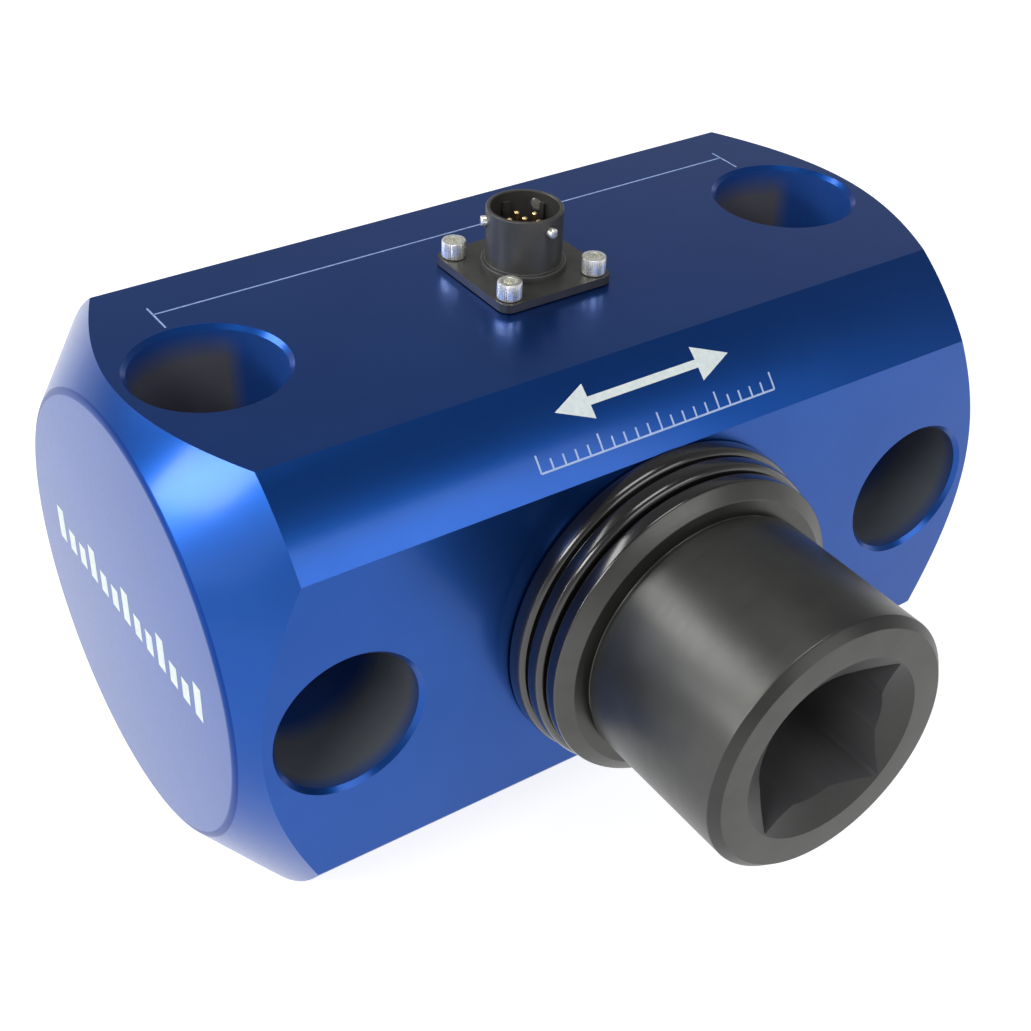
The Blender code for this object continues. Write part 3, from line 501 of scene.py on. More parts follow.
def make_materials():
    coat = {"Coat_Weight": 0.33, "Coat_Roughness": 0.14}
    blue = material_of("anodised_blue", (0.004, 0.067, 0.330), 0.33, 0.92, **coat)
    vary_colour(blue, 60.0, (0.003, 0.063, 0.320), (0.005, 0.071, 0.345))
    vary_roughness(blue, 900.0, 0.29, 0.32, detail=4.0)
    add_bump(blue, 2600.0, 0.0008)

    # A darker blue on the rounded rims of the end faces: a painted dark reflection along that edge.
    edge = material_of("end_rim_painted_dark_reflection", (0.006, 0.045, 0.25), 0.34, 0.95)
    vary_colour(edge, 60.0, (0.005, 0.042, 0.24), (0.007, 0.048, 0.26))

    # Painted shade from 1.5 to 6.5 mm deep in the upright holes, and painted light keeping the wall blue
    # on its +X side, where the left lamps would light it.
    make_bore("upright_bore_painted_shade_and_light", (0.11, 0.11, 0.13), (1.5, 6.5), (8.0, 10.5), by_depth=False)
    # Painted shade from just inside the mouth of the level holes, and a painted lit patch that turns the
    # wall blue again from 13.5 to 19 mm deep.
    make_bore("level_bore_painted_shade_and_light", (0.15, 0.165, 0.185), (0.5, 4.0), (13.5, 19.0), by_depth=True)

    oxide = material_of("black_oxide_steel", (0.079, 0.080, 0.076), 0.34, 0.85)
    vary_colour(oxide, 120.0, (0.073, 0.074, 0.071), (0.089, 0.089, 0.084))
    vary_roughness(oxide, (70.0, 2400.0, 70.0), 0.33, 0.38)
    add_bump(oxide, (60.0, 5200.0, 60.0), 0.0007)

    # The socket's chamfers: the oxide painted darker, as painted shade.
    chamfer = material_of("chamfer_oxide_painted_shade", (0.056, 0.057, 0.055), 0.40, 0.85)
    vary_colour(chamfer, 120.0, (0.052, 0.053, 0.051), (0.060, 0.061, 0.059))

    # Inside the square drive: broached grain, with its tone painted as an even dull grey that stands in
    # for the shade inside the drive.
    broached = material_of("broached_steel_painted_shade", (0.10, 0.10, 0.105), 0.5, 0.1)
    vary_colour(broached, (1400.0, 60.0, 1400.0), (0.092, 0.092, 0.097), (0.108, 0.108, 0.113))
    vary_roughness(broached, (1400.0, 60.0, 1400.0), 0.42, 0.58)
    add_bump(broached, (4200.0, 60.0, 4200.0), 0.003)

    coat = {"Coat_Weight": 0.7, "Coat_Roughness": 0.14, "Coat_IOR": 1.7}
    collar = material_of("black_collar", (0.014, 0.013, 0.013), 0.26, 0.5, **coat)
    vary_roughness(collar, (90.0, 3000.0, 90.0), 0.22, 0.28)
    add_bump(collar, (60.0, 5200.0, 60.0), 0.0006)

    steel = material_of("bright_steel", (0.92, 0.92, 0.86), 0.30, 0.86)
    vary_roughness(steel, 1500.0, 0.24, 0.36)
    add_bump(steel, (300.0, 300.0, 5000.0), 0.0012)

    ground = material_of("ground_steel", (0.40, 0.40, 0.39), 0.30, 1.0)
    vary_roughness(ground, 1300.0, 0.24, 0.38)
    add_bump(ground, (4200.0, 60.0, 60.0), 0.0014)

    bearing = material_of("bearing_steel", (0.60, 0.60, 0.59), 0.16, 1.0)
    vary_roughness(bearing, 900.0, 0.12, 0.22)

    brass = material_of("brass", (0.66, 0.45, 0.18), 0.30, 1.0)
    vary_colour(brass, 500.0, (0.60, 0.41, 0.16), (0.70, 0.49, 0.21))
    add_bump(brass, 2400.0, 0.002)

    rubber = material_of("rubber", (0.016, 0.016, 0.017), 0.68, 0.0)
    vary_roughness(rubber, 1100.0, 0.60, 0.78)
    add_bump(rubber, 3000.0, 0.003)

    shell = material_of("connector_black", (0.052, 0.052, 0.050), 0.38, 0.3)
    vary_colour(shell, 260.0, (0.046, 0.046, 0.044), (0.060, 0.059, 0.056))
    vary_roughness(shell, 1600.0, 0.30, 0.46)
    add_bump(shell, 3800.0, 0.0016)

    insert = material_of("insert_plastic", (0.018, 0.018, 0.019), 0.5, 0.0)
    vary_roughness(insert, 1500.0, 0.42, 0.58)

    gold = material_of("gold", (0.86, 0.66, 0.34), 0.2, 1.0)
    vary_roughness(gold, 2500.0, 0.15, 0.28)

    foil = material_of("gauge_foil", (0.55, 0.28, 0.08), 0.38, 0.3)
    vary_colour(foil, (4000.0, 300.0, 300.0), (0.45, 0.21, 0.05), (0.75, 0.47, 0.24))

    board = material_of("board", (0.015, 0.10, 0.035), 0.42, 0.0)
    vary_colour(board, (1400.0, 50.0, 1400.0), (0.012, 0.085, 0.03), (0.02, 0.13, 0.05))

    sleeve = material_of("lead_sleeve", (0.20, 0.20, 0.21), 0.6, 0.0)
    add_bump(sleeve, (2600.0, 2600.0, 1200.0), 0.006)

    bright_ink = material_of("pale_ink", (0.70, 0.78, 0.78), 0.5, 0.0)
    vary_colour(bright_ink, 900.0, (0.64, 0.72, 0.73), (0.76, 0.83, 0.82))

    scale_ink = material_of("scale_ink", (0.38, 0.50, 0.76), 0.5, 0.0)
    vary_colour(scale_ink, 900.0, (0.33, 0.45, 0.72), (0.44, 0.56, 0.80))

    line_ink = material_of("line_ink", (0.24, 0.36, 0.62), 0.5, 0.0)
    vary_colour(line_ink, 700.0, (0.18, 0.29, 0.55), (0.32, 0.44, 0.70))


# The frame's own solids that stay in view

BALL_COUNT = 12
GAUGE_COUNT = 4
LOOK_OF_NODE = {
    "collar_o_ring": "rubber",
    "shaft_seal": "rubber",
    "connector_o_ring": "rubber",
    "bearing_outer_ring": "bearing_steel",
    "bearing_inner_ring": "bearing_steel",
    "bearing_cage": "brass",
    "bridge_board": "board",
    "lead_bundle": "lead_sleeve",
    **{f"bearing_ball_{k + 1}": "bearing_steel" for k in range(BALL_COUNT)},
    **{f"strain_gauge_{k + 1}": "gauge_foil" for k in range(GAUGE_COUNT)},
}


def smooth_group():
    """Welds a solid's facets and smooths them, apart from its sharp edges."""
    group = bpy.data.node_groups.new("weld_and_smooth", "GeometryNodeTree")
    group.interface.new_socket("Geometry", in_out="INPUT", socket_type="NodeSocketGeometry")
    group.interface.new_socket("Geometry", in_out="OUTPUT", socket_type="NodeSocketGeometry")
    nodes = group.nodes
    links = group.links
    entry = nodes.new("NodeGroupInput")
    leave = nodes.new("NodeGroupOutput")
    weld = nodes.new("GeometryNodeMergeByDistance")
    weld.inputs["Distance"].default_value = 0.005 * MM
    angle = nodes.new("GeometryNodeInputMeshEdgeAngle")
    flat = nodes.new("FunctionNodeCompare")
    flat.data_type = "FLOAT"
    flat.operation = "LESS_THAN"
    flat.inputs["B"].default_value = SHARP_ON_SOLIDS
    faces = nodes.new("GeometryNodeSetShadeSmooth")
    faces.domain = "FACE"
    edges = nodes.new("GeometryNodeSetShadeSmooth")
    edges.domain = "EDGE"
    links.new(entry.outputs[0], weld.inputs["Geometry"])
    links.new(weld.outputs["Geometry"], faces.inputs["Geometry"])
    links.new(faces.outputs["Geometry"], edges.inputs["Geometry"])
    links.new(angle.outputs["Unsigned Angle"], flat.inputs["A"])
    links.new(flat.outputs["Result"], edges.inputs["Shade Smooth"])
    links.new(edges.outputs["Geometry"], leave.inputs[0])
    return group


def dress_nodes(frame):
    group = smooth_group()
    for name, look in LOOK_OF_NODE.items():
        node = frame["nodes"][name]
        node.data.materials.clear()
        node.data.materials.append(LOOKS[look])
        custom = node.data.attributes.get("custom_normal")
        if custom:
            node.data.attributes.remove(custom)
        modifier = node.modifiers.new("smooth", "NODES")
        modifier.node_group = group


def show(piece, look, slot, *nodes):
    """A piece takes its material, rides on the part and stands for the nodes."""
    piece.data.materials.clear()
    piece.data.materials.append(LOOKS[look])
    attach(piece, "root")
    if nodes:
        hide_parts(*nodes)
    return piece


# Housing


def through_hole(name, at, axis, start, end):
    """A mounting hole's drill, flared at both faces so that it also breaks the hole's edges."""
    radius = MOUNT_HOLE_DIAMETER / 2
    flare = radius + HOLE_EDGE_BREAK + PAST
    outline = [
        (0, start - PAST),
        (flare, start - PAST),
        (radius, start + HOLE_EDGE_BREAK),
        (radius, end - HOLE_EDGE_BREAK),
        (flare, end + PAST),
        (0, end + PAST),
    ]
    return turned(name, outline, at, axis, BARREL_SIDES)


def bore_outline():
    """Steps of the bore along the drive axis, widest at the two flats."""
    thread = COLLAR_THREAD_DIAMETER / 2
    chamber = CHAMBER_DIAMETER / 2
    web = WEB_BORE_DIAMETER / 2
    recess = ANCHOR_RECESS_DIAMETER / 2
    out = HALF + PAST
    edge = HOLE_EDGE_BREAK / 2
    return [
        (0, -out),
        (thread + edge + PAST, -out),
        (thread, edge - HALF),
        (thread, BEARING_SEAT_END),
        (chamber, BEARING_SEAT_END),
        (chamber, CHAMBER_END),
        (web, CHAMBER_END),
        (web, ANCHOR_RECESS_FLOOR),
        (recess, ANCHOR_RECESS_FLOOR),
        (recess, HALF - edge),
        (recess + edge + PAST, out),
        (0, out),
    ]


def pocket_outline():
    """Stepped pocket under the connector, and the lead passage down to the gauge chamber."""
    pocket = CONNECTOR_POCKET_DIAMETER / 2
    seal = SEAL_COUNTERBORE_DIAMETER / 2
    passage = LEAD_PASSAGE_DIAMETER / 2
    inside = HALF + CHAMBER_DIAMETER / 2 - PAST
    return [
        (0, inside),
        (passage, inside),
        (passage, CONNECTOR_POCKET_FLOOR),
        (pocket, CONNECTOR_POCKET_FLOOR),
        (pocket, TOP - SEAL_COUNTERBORE_DEPTH),
        (seal, TOP - SEAL_COUNTERBORE_DEPTH),
        (seal, TOP + PAST),
        (0, TOP + PAST),
    ]


def connector_screw_places():
    reach = CONNECTOR_SCREW_SPACING / 2
    return [(-reach, -reach), (reach, -reach), (reach, reach), (-reach, reach)]


def anchor_places(first):
    circle = on_circle(ANCHOR_CIRCLE_RADIUS, ANCHOR_SCREW_COUNT, first)
    return [(x, 0.0, HALF + z) for x, z, _ in circle]


def on_outer_face(point):
    """Whether a point lies on a flat, or where a cone meets the bar."""
    near = 0.02
    x, y, z = point
    on_flat = abs(abs(z - HALF) - HALF) < near or abs(abs(y) - HALF) < near
    cone_start = HOUSING_LENGTH / 2 - END_CONE_LENGTH
    on_cone = abs(abs(x) - cone_start) < near and math.hypot(y, z - HALF) > BAR_DIAMETER / 2 - SEAT
    return on_flat or on_cone


def mark_walls_and_ends(housing):
    """The mounting holes' walls take materials of their own with painted shade and painted light, and the
    rounded rims of the end faces one with a painted dark reflection.
    """
    for look in ("upright_bore_painted_shade_and_light", "level_bore_painted_shade_and_light", "end_rim_painted_dark_reflection"):
        housing.data.materials.append(LOOKS[look])
    reach = MOUNT_HOLE_DIAMETER / 2 + FINE_EDGE
    cone = math.atan2(BAR_DIAMETER / 2 - END_FACE_DIAMETER / 2, END_CONE_LENGTH)
    past_cone = math.sin(cone) + 0.005
    nearly_end_face = 0.99
    for face in housing.data.polygons:
        x, y, z = face.center / MM
        aside = abs(x) - MOUNT_HOLE_SPACING / 2
        if math.hypot(aside, y) < reach and abs(z - HALF) < HALF - FINE_EDGE:
            face.material_index = 1
        elif math.hypot(aside, z - HALF) < reach and abs(y) < HALF - FINE_EDGE:
            face.material_index = 2
        elif past_cone < abs(face.normal.x) < nearly_end_face and abs(x) > HOUSING_LENGTH / 2 - END_EDGE:
            # These rim faces take the painted dark reflection.
            face.material_index = 3


def make_housing():
    """Round bar with coned ends, cut to four flats, then bored and drilled."""
    end = HOUSING_LENGTH / 2
    bar = BAR_DIAMETER / 2
    face = END_FACE_DIAMETER / 2
    cone = end - END_CONE_LENGTH
    corners = [(0, -end, 0), (face, -end, END_EDGE), (bar, -cone, 0)]
    corners += [(bar, cone, 0), (face, end, END_EDGE), (0, end, 0)]
    housing = turned("housing_body", rounded(corners), axis="X", sides=BAR_SIDES)
    flats = prism("cut_flats", square(ACROSS_FLATS), -end - PAST, end + PAST, at=AXIS_POINT, axis="X")
    combine(housing, flats, "INTERSECT")
    for side in (-1, 1):
        x = side * MOUNT_HOLE_SPACING / 2
        combine(housing, through_hole("drill_upright", (x, 0, 0), "Z", 0, TOP))
        combine(housing, through_hole("drill_level", (x, 0, HALF), "Y", -HALF, HALF))
    combine(housing, turned("cut_bore", bore_outline()))
    combine(housing, turned_upright("cut_connector_pocket", pocket_outline(), sides=BARREL_SIDES))
    hole = plain(CAP_SCREW_SHANK_DIAMETER / 2 + FIT, CAP_SCREW_TIP - SPARE_DEPTH, TOP + PAST)
    for x, y in connector_screw_places():
        combine(housing, turned_upright("drill_cap_screw", hole, x, y, SMALL_SIDES))
    hole = plain(ANCHOR_SHANK_DIAMETER / 2 + FIT, ANCHOR_SCREW_TIP - SPARE_DEPTH, HALF)
    for at in anchor_places(0):
        combine(housing, turned("drill_anchor_screw", hole, at, sides=SMALL_SIDES))
    hole = plain(DOWEL_DIAMETER / 2 + FIT, DOWEL_FRONT - FIT, HALF)
    for at in anchor_places(ANCHOR_DOWEL_TURN):
        combine(housing, turned("drill_dowel", hole, at, sides=SMALL_SIDES))
    settle(housing)
    show(housing, "anodised_blue", "housing", "housing")
    mark_walls_and_ends(housing)
    soften_edges(housing, FLAT_EDGE, on_outer_face)


# Shaft, collar and anchor


def make_shaft():
    """Drive socket, flange, journals and gauge waist, turned in one piece."""
    socket = SOCKET_DIAMETER / 2
    groove = ROOT_GROOVE_DIAMETER / 2
    flange = FLANGE_DIAMETER / 2
    seal = SEAL_JOURNAL_DIAMETER / 2
    journal = BEARING_JOURNAL_DIAMETER / 2
    waist = WAIST_DIAMETER / 2
    shoulder = REAR_SHOULDER_DIAMETER / 2
    square_radius = REAR_SQUARE_CORNERS / 2
    square_start = ANCHOR_RECESS_FLOOR
    square_end = square_start + REAR_SQUARE_LENGTH
    groove_end = FLANGE_FRONT - ROOT_GROOVE_WIDTH
    corners = [
        (0, SOCKET_END, 0),
        (socket - SOCKET_EDGE, SOCKET_END, FINE_EDGE),
        (socket, SOCKET_END + SOCKET_EDGE, TURNED_EDGE),
        (socket, groove_end, 0),
        (groove, groove_end, FINE_EDGE),
        (groove, FLANGE_FRONT, FINE_EDGE),
        (FLANGE_SLOPE_RADIUS, FLANGE_FRONT, TURNED_EDGE),
        (flange, FLANGE_FRONT + FLANGE_SLOPE_DEPTH, FLANGE_FRONT_RADIUS),
        (flange, FLANGE_BACK, FLANGE_BACK_RADIUS),
        (seal, FLANGE_BACK, 0),
        (seal, JOURNAL_FRONT, FINE_EDGE),
        (journal, JOURNAL_FRONT, 0),
        (journal, WAIST_FRONT, FINE_EDGE),
        (waist, WAIST_FRONT, WAIST_FILLET),
        (waist, WAIST_BACK, WAIST_FILLET),
        (shoulder, WAIST_BACK, FINE_EDGE),
        (shoulder, square_start, FINE_EDGE),
        (square_radius, square_start, 0),
        (square_radius, square_end, FINE_EDGE),
        (0, square_end, 0),
    ]
    shaft = turned("shaft_turned", rounded(corners))
    ring = turned("cut_rear_ring", plain(REAR_SHOULDER_DIAMETER, square_start, square_end + PAST))
    sides = square(REAR_SQUARE, FINE_EDGE)
    keep = prism("keep_square", sides, square_start - PAST, square_end + 2 * PAST, at=AXIS_POINT, axis="Y")
    combine(ring, keep)
    combine(shaft, settle(ring))
    combine(shaft, turned("cut_drive_pilot", drive_pilot_outline()))
    drive = square(DRIVE_SQUARE, SQUARE_CORNER)
    drive_end = SOCKET_END + DRIVE_DEPTH
    combine(shaft, prism("cut_drive_square", drive, SOCKET_END - PAST, drive_end, at=AXIS_POINT, axis="Y"))
    tapped = plain(RETAINING_SHANK_DIAMETER / 2 + FIT, RETAINING_TIP - SPARE_DEPTH, HALF)
    combine(shaft, turned("drill_retaining_thread", tapped, sides=SMALL_SIDES))
    settle(shaft)
    show(shaft, "black_oxide_steel", "shaft", "measuring_shaft")
    mark_shaft_faces(shaft)
    soften_edges(shaft, FINE_EDGE, on_drive_mouth)


def drive_pilot_outline():
    """Countersunk mouth and drilled relief of the square drive."""
    mouth = DRIVE_MOUTH_DIAMETER / 2
    pilot = DRIVE_PILOT_DIAMETER / 2
    slope = math.tan(math.radians(DRIVE_MOUTH_SLOPE))
    bottom = SOCKET_END + DRIVE_PILOT_DEPTH
    return [
        (0, SOCKET_END - PAST),
        (mouth + PAST / slope, SOCKET_END - PAST),
        (pilot, SOCKET_END + (mouth - pilot) * slope),
        (pilot, bottom),
        (0, bottom + pilot * slope),
    ]


def mark_shaft_faces(shaft):
    """The socket's two chamfers and the square drive take materials with painted shade of their own, and
    the flange's rim takes the collar's material.
    """
    for look in ("chamfer_oxide_painted_shade", "broached_steel_painted_shade", "black_collar"):
        shaft.data.materials.append(LOOKS[look])
    mouth = DRIVE_MOUTH_DIAMETER / 2
    mouth_depth = (mouth - DRIVE_PILOT_DIAMETER / 2) * math.tan(math.radians(DRIVE_MOUTH_SLOPE))
    rim = FLANGE_DIAMETER / 2 - FLANGE_BACK_RADIUS
    for face in shaft.data.polygons:
        x, y, z = face.center / MM
        radius = math.hypot(x, z - HALF)
        depth = y - SOCKET_END
        if radius < mouth and mouth_depth < depth < DRIVE_PILOT_DEPTH + mouth:
            # The square drive's walls take the painted shade.
            face.material_index = 2
        elif FINE_EDGE / 2 < depth < mouth_depth and (radius < mouth or depth < SOCKET_EDGE):
            # The chamfers take the painted shade.
            face.material_index = 1
        elif radius > rim and FLANGE_FRONT + FLANGE_SLOPE_DEPTH < y < FLANGE_BACK:
            face.material_index = 3


def on_drive_mouth(point):
    """Whether a point lies on the edges where the square and its countersink meet the socket's end."""
    x, y, z = point
    depth = (DRIVE_MOUTH_DIAMETER - DRIVE_SQUARE) / 2
    inside = math.hypot(x, z - HALF) < DRIVE_MOUTH_DIAMETER / 2 + TURNED_EDGE
    outside = max(abs(x), abs(z - HALF)) > DRIVE_SQUARE / 2 - FINE_EDGE
    return y < SOCKET_END + depth and inside and outside


def make_collar():
    """Ringed collar, screwed into the housing in front of the bearing."""
    ring = COLLAR_DIAMETER / 2
    bead = COLLAR_BEAD_DIAMETER / 2
    groove = COLLAR_GROOVE_DIAMETER / 2
    spigot = COLLAR_THREAD_DIAMETER / 2 - FIT
    bore = COLLAR_BORE_DIAMETER / 2
    pocket = SEAL_POCKET_DIAMETER / 2
    back = -HALF - FIT
    face_outer = ring - FACE_GROOVE_INSET
    face_inner = spigot + FACE_GROOVE_INSET / 2
    face_floor = back - FACE_GROOVE_DEPTH
    corners = [
        (pocket, COLLAR_FRONT, FINE_EDGE),
        (bead, COLLAR_FRONT, COLLAR_BEAD_RADIUS),
        (bead, COLLAR_BEAD_BACK, FINE_EDGE),
        (groove, COLLAR_BEAD_BACK, FINE_EDGE),
        (groove, COLLAR_RING_FRONT, FINE_EDGE),
        (ring, COLLAR_RING_FRONT, COLLAR_RING_RADIUS),
        (ring, back, FINE_EDGE),
        (face_outer, back, 0),
        (face_outer, face_floor, 0),
        (face_inner, face_floor, 0),
        (face_inner, back, 0),
        (spigot, back, 0),
        (spigot, COLLAR_SPIGOT_END, FINE_EDGE),
        (bore, COLLAR_SPIGOT_END, FINE_EDGE),
        (bore, SEAL_POCKET_FLOOR, 0),
        (pocket, SEAL_POCKET_FLOOR, 0),
    ]
    show(turned("collar_turned", rounded(corners)), "black_collar", "collar", "front_collar")


def make_anchor():
    """Plate let into the back flat, with its screws and dowels."""
    outer = ANCHOR_PLATE_DIAMETER / 2
    pocket = WASHER_POCKET_DIAMETER / 2
    start = ANCHOR_RECESS_FLOOR + FIT
    out = HALF + PAST
    corners = [
        (0, start, 0),
        (outer, start, FINE_EDGE),
        (outer, ANCHOR_FACE, ANCHOR_PLATE_EDGE),
        (pocket, ANCHOR_FACE, WASHER_POCKET_EDGE),
        (pocket, WASHER_POCKET_FLOOR, 0),
        (0, WASHER_POCKET_FLOOR, 0),
    ]
    plate = turned("anchor_plate_turned", rounded(corners))
    sides = square(REAR_SQUARE + 2 * FIT, SQUARE_CORNER)
    combine(plate, prism("cut_anchor_square", sides, start - PAST, out, at=AXIS_POINT, axis="Y"))
    shank = ANCHOR_SHANK_DIAMETER / 2 + FIT
    head = ANCHOR_HEAD_DIAMETER / 2 + FIT
    seat = ANCHOR_FACE - ANCHOR_HEAD_HEIGHT
    edge = ANCHOR_FACE - FINE_EDGE
    stepped = [(0, start - PAST), (shank, start - PAST), (shank, seat - FIT), (head, seat - FIT)]
    stepped += [(head, edge), (head + out - edge, out), (0, out)]
    for at in anchor_places(0):
        combine(plate, turned("drill_plate_screw", stepped, at, sides=SMALL_SIDES))
    hole = plain(DOWEL_DIAMETER / 2 + FIT, start - PAST, out)
    for at in anchor_places(ANCHOR_DOWEL_TURN):
        combine(plate, turned("drill_plate_dowel", hole, at, sides=SMALL_SIDES))
    show(settle(plate), "ground_steel", "anchor", "anchor_plate")
    size = (ANCHOR_HEAD_DIAMETER, ANCHOR_HEAD_HEIGHT, ANCHOR_SHANK_DIAMETER)
    for k, at in enumerate(anchor_places(0)):
        screw = cap_screw(f"anchor_cap_screw_{k + 1}", size, seat, ANCHOR_SCREW_TIP, at, "Y")
        show(screw, "black_oxide_steel", "black_screw", f"anchor_screw_{k + 1}")
    radius = DOWEL_DIAMETER / 2
    corners = [(0, DOWEL_FRONT, 0), (radius, DOWEL_FRONT, DOWEL_EDGE)]
    corners += [(radius, DOWEL_BACK, DOWEL_EDGE), (0, DOWEL_BACK, 0)]
    for k, at in enumerate(anchor_places(ANCHOR_DOWEL_TURN)):
        dowel = turned(f"anchor_pin_{k + 1}", rounded(corners), at, sides=SMALL_SIDES)
        show(dowel, "ground_steel", "anchor", f"anchor_dowel_{k + 1}")


def make_retainer():
    """Screw and large washer at the back, which draw the shaft against the anchor plate."""
    front = WASHER_POCKET_FLOOR + SEAT
    back = front + WASHER_THICKNESS
    washer = WASHER_DIAMETER / 2
    bore = RETAINING_SHANK_DIAMETER / 2 + FIT
    corners = [(bore, front, FINE_EDGE), (washer, front, FINE_EDGE)]
    corners += [(washer, back, WASHER_EDGE), (bore, back, FINE_EDGE)]
    show(turned("retainer_washer", rounded(corners)), "bright_steel", "washer", "retaining_washer")
    size = (RETAINING_HEAD_DIAMETER, RETAINING_HEAD_HEIGHT, RETAINING_SHANK_DIAMETER)
    screw = cap_screw("retainer_screw", size, back + SEAT, RETAINING_TIP, AXIS_POINT, "Y")
    show(screw, "black_oxide_steel", "black_screw", "retaining_screw")


def cap_screw(name, size, seat, tip, at, axis):
    """Socket head screw with a knurled head and a countersunk hexagon."""
    head_diameter, head_height, shank_diameter = size
    head = head_diameter / 2
    shank = shank_diameter / 2
    top = seat + head_height
    edge = head * HEAD_EDGE_SHARE
    outline = [(0, tip), (shank - edge, tip), (shank, tip + edge), (shank, seat), (head, seat)]
    outline += [(head, top - edge), (head - edge / 4, top - edge / 3), (head - edge, top), (0, top)]
    screw = turned(name, outline, at, axis, 2 * KNURL_COUNT)
    knurl(screw, at, axis, (shank + head) / 2, top - edge, edge / 3)
    key = head_diameter * HEX_SHARE
    floor = top - head_height * HEX_DEPTH_SHARE
    mouth = key / math.sqrt(3) + edge / 3
    sink_floor = top - (mouth - key / 2) / 2
    sink = [(0, sink_floor), (key / 2, sink_floor), (mouth, top), (mouth, top + PAST), (0, top + PAST)]
    combine(screw, turned("cut_sink", sink, at, axis, SMALL_SIDES))
    combine(screw, prism("cut_hexagon", hexagon(key), floor, top + PAST, at=at, axis=axis))
    return settle(screw)


def knurl(screw, at, axis, inside, top, depth):
    """Draws every other row of the head's wall inwards, up to its upper edge."""
    place = Matrix.Translation(Vector(at) * MM) @ TURN_TO[axis]
    back = place.inverted()
    for vert in screw.data.vertices:
        x, y, height = back @ vert.co / MM
        radius = math.hypot(x, y)
        row = round(math.atan2(y, x) / math.pi * KNURL_COUNT)
        if radius > inside and height < top + FIT and row % 2:
            shrink = (radius - depth) / radius
            vert.co = place @ (Vector((x * shrink, y * shrink, height)) * MM)


# Connector


def make_connector():
    """Connector shell with its keys, bayonet pins, screws and insulator."""
    outline = square(CONNECTOR_FLANGE, CONNECTOR_FLANGE_CORNER)
    shell = prism("connector_body", outline, TOP + SEAT, FLANGE_TOP)
    combine(shell, turned_upright("add_barrel", barrel_outline()), "UNION")
    combine(shell, turned_upright("cut_mouth", mouth_outline()))
    inner = MOUTH_DIAMETER / 2 - KEY_REACH
    outer = MOUTH_DIAMETER / 2 + KEY_REACH / 2
    for k, degrees in enumerate(KEY_ANGLES):
        side = (SIDE_KEY_WIDTH if k else MAIN_KEY_WIDTH) / 2
        rib = [(inner, -side), (outer, -side), (outer, side), (inner, side)]
        key = prism("add_key", rib, MOUTH_FLOOR - KEY_ROOT, MOUTH_FLOOR + KEY_LENGTH, turn=degrees)
        combine(shell, key, "UNION")
    hole = plain(CAP_SCREW_SHANK_DIAMETER / 2 + FIT, TOP - PAST, FLANGE_TOP + PAST)
    for x, y in connector_screw_places():
        combine(shell, turned_upright("drill_flange", hole, x, y, SMALL_SIDES))
    radius = BAYONET_DIAMETER / 2
    hole = plain(radius + SEAT, BAYONET_ROOT - FIT, BAYONET_REACH + PAST)
    corners = [(0, BAYONET_ROOT, 0), (radius, BAYONET_ROOT, 0)]
    corners += [(radius, BAYONET_REACH, BAYONET_EDGE), (0, BAYONET_REACH, 0)]
    for k in range(BAYONET_COUNT):
        combine(shell, radial_piece("drill_bayonet", hole, k))
        stud = radial_piece(f"bayonet_stud_{k + 1}", rounded(corners), k)
        show(stud, "bright_steel", "bright_screw", f"bayonet_pin_{k + 1}")
    settle(shell)
    soften_edges(shell, FINE_EDGE, on_flange_edge)
    show(shell, "connector_black", "connector", "connector_shell")
    size = (CAP_SCREW_HEAD_DIAMETER, CAP_SCREW_HEAD_HEIGHT, CAP_SCREW_SHANK_DIAMETER)
    for k, (x, y) in enumerate(connector_screw_places()):
        name = f"connector_cap_screw_{k + 1}"
        screw = cap_screw(name, size, FLANGE_TOP + SEAT, CAP_SCREW_TIP, (x, y, 0), "Z")
        show(screw, "bright_steel", "bright_screw", f"connector_screw_{k + 1}")
    make_insert()


def barrel_outline():
    """Barrel with its foot ring, and the boss that reaches down into the housing's pocket."""
    barrel = BARREL_DIAMETER / 2
    foot = BARREL_FOOT_DIAMETER / 2
    boss = BOSS_DIAMETER / 2
    inside_flange = TOP + SEAT + CONNECTOR_FLANGE_THICKNESS / 2
    foot_top = FLANGE_TOP + BARREL_FOOT_HEIGHT
    corners = [
        (0, BOSS_BOTTOM, 0),
        (boss, BOSS_BOTTOM, BARREL_EDGE),
        (boss, inside_flange, 0),
        (foot, inside_flange, 0),
        (foot, foot_top, BARREL_EDGE),
        (barrel, foot_top, FINE_EDGE),
        (barrel, BARREL_TOP, BARREL_EDGE),
        (0, BARREL_TOP, 0),
    ]
    return rounded(corners)


def mouth_outline():
    """Bore for the insulator, and the wider mouth that takes the plug."""
    mouth = MOUTH_DIAMETER / 2
    bore = INSERT_BORE_DIAMETER / 2
    return [
        (0, BOSS_BOTTOM - PAST),
        (bore, BOSS_BOTTOM - PAST),
        (bore, MOUTH_FLOOR),
        (mouth, MOUTH_FLOOR),
        (mouth, BARREL_TOP - MOUTH_EDGE),
        (mouth + MOUTH_EDGE + PAST, BARREL_TOP + PAST),
        (0, BARREL_TOP + PAST),
    ]


def on_flange_edge(point):
    x, y, z = point
    on_level = min(abs(z - FLANGE_TOP), abs(z - TOP - SEAT)) < FINE_EDGE / 10
    return on_level and max(abs(x), abs(y)) > BARREL_FOOT_DIAMETER / 2 + FINE_EDGE


def radial_piece(name, outline, place):
    """A small turned piece that points out of the barrel at one of the bayonet places."""
    piece = turned_upright(name, outline, sides=SMALL_SIDES)
    angle = math.radians(BAYONET_FIRST_ANGLE) + 2 * math.pi * place / BAYONET_COUNT
    lie = Matrix.Rotation(angle, 4, "Z") @ Matrix.Rotation(math.pi / 2, 4, "Y")
    piece.data.transform(Matrix.Translation((0, 0, BAYONET_HEIGHT * MM)) @ lie)
    return piece


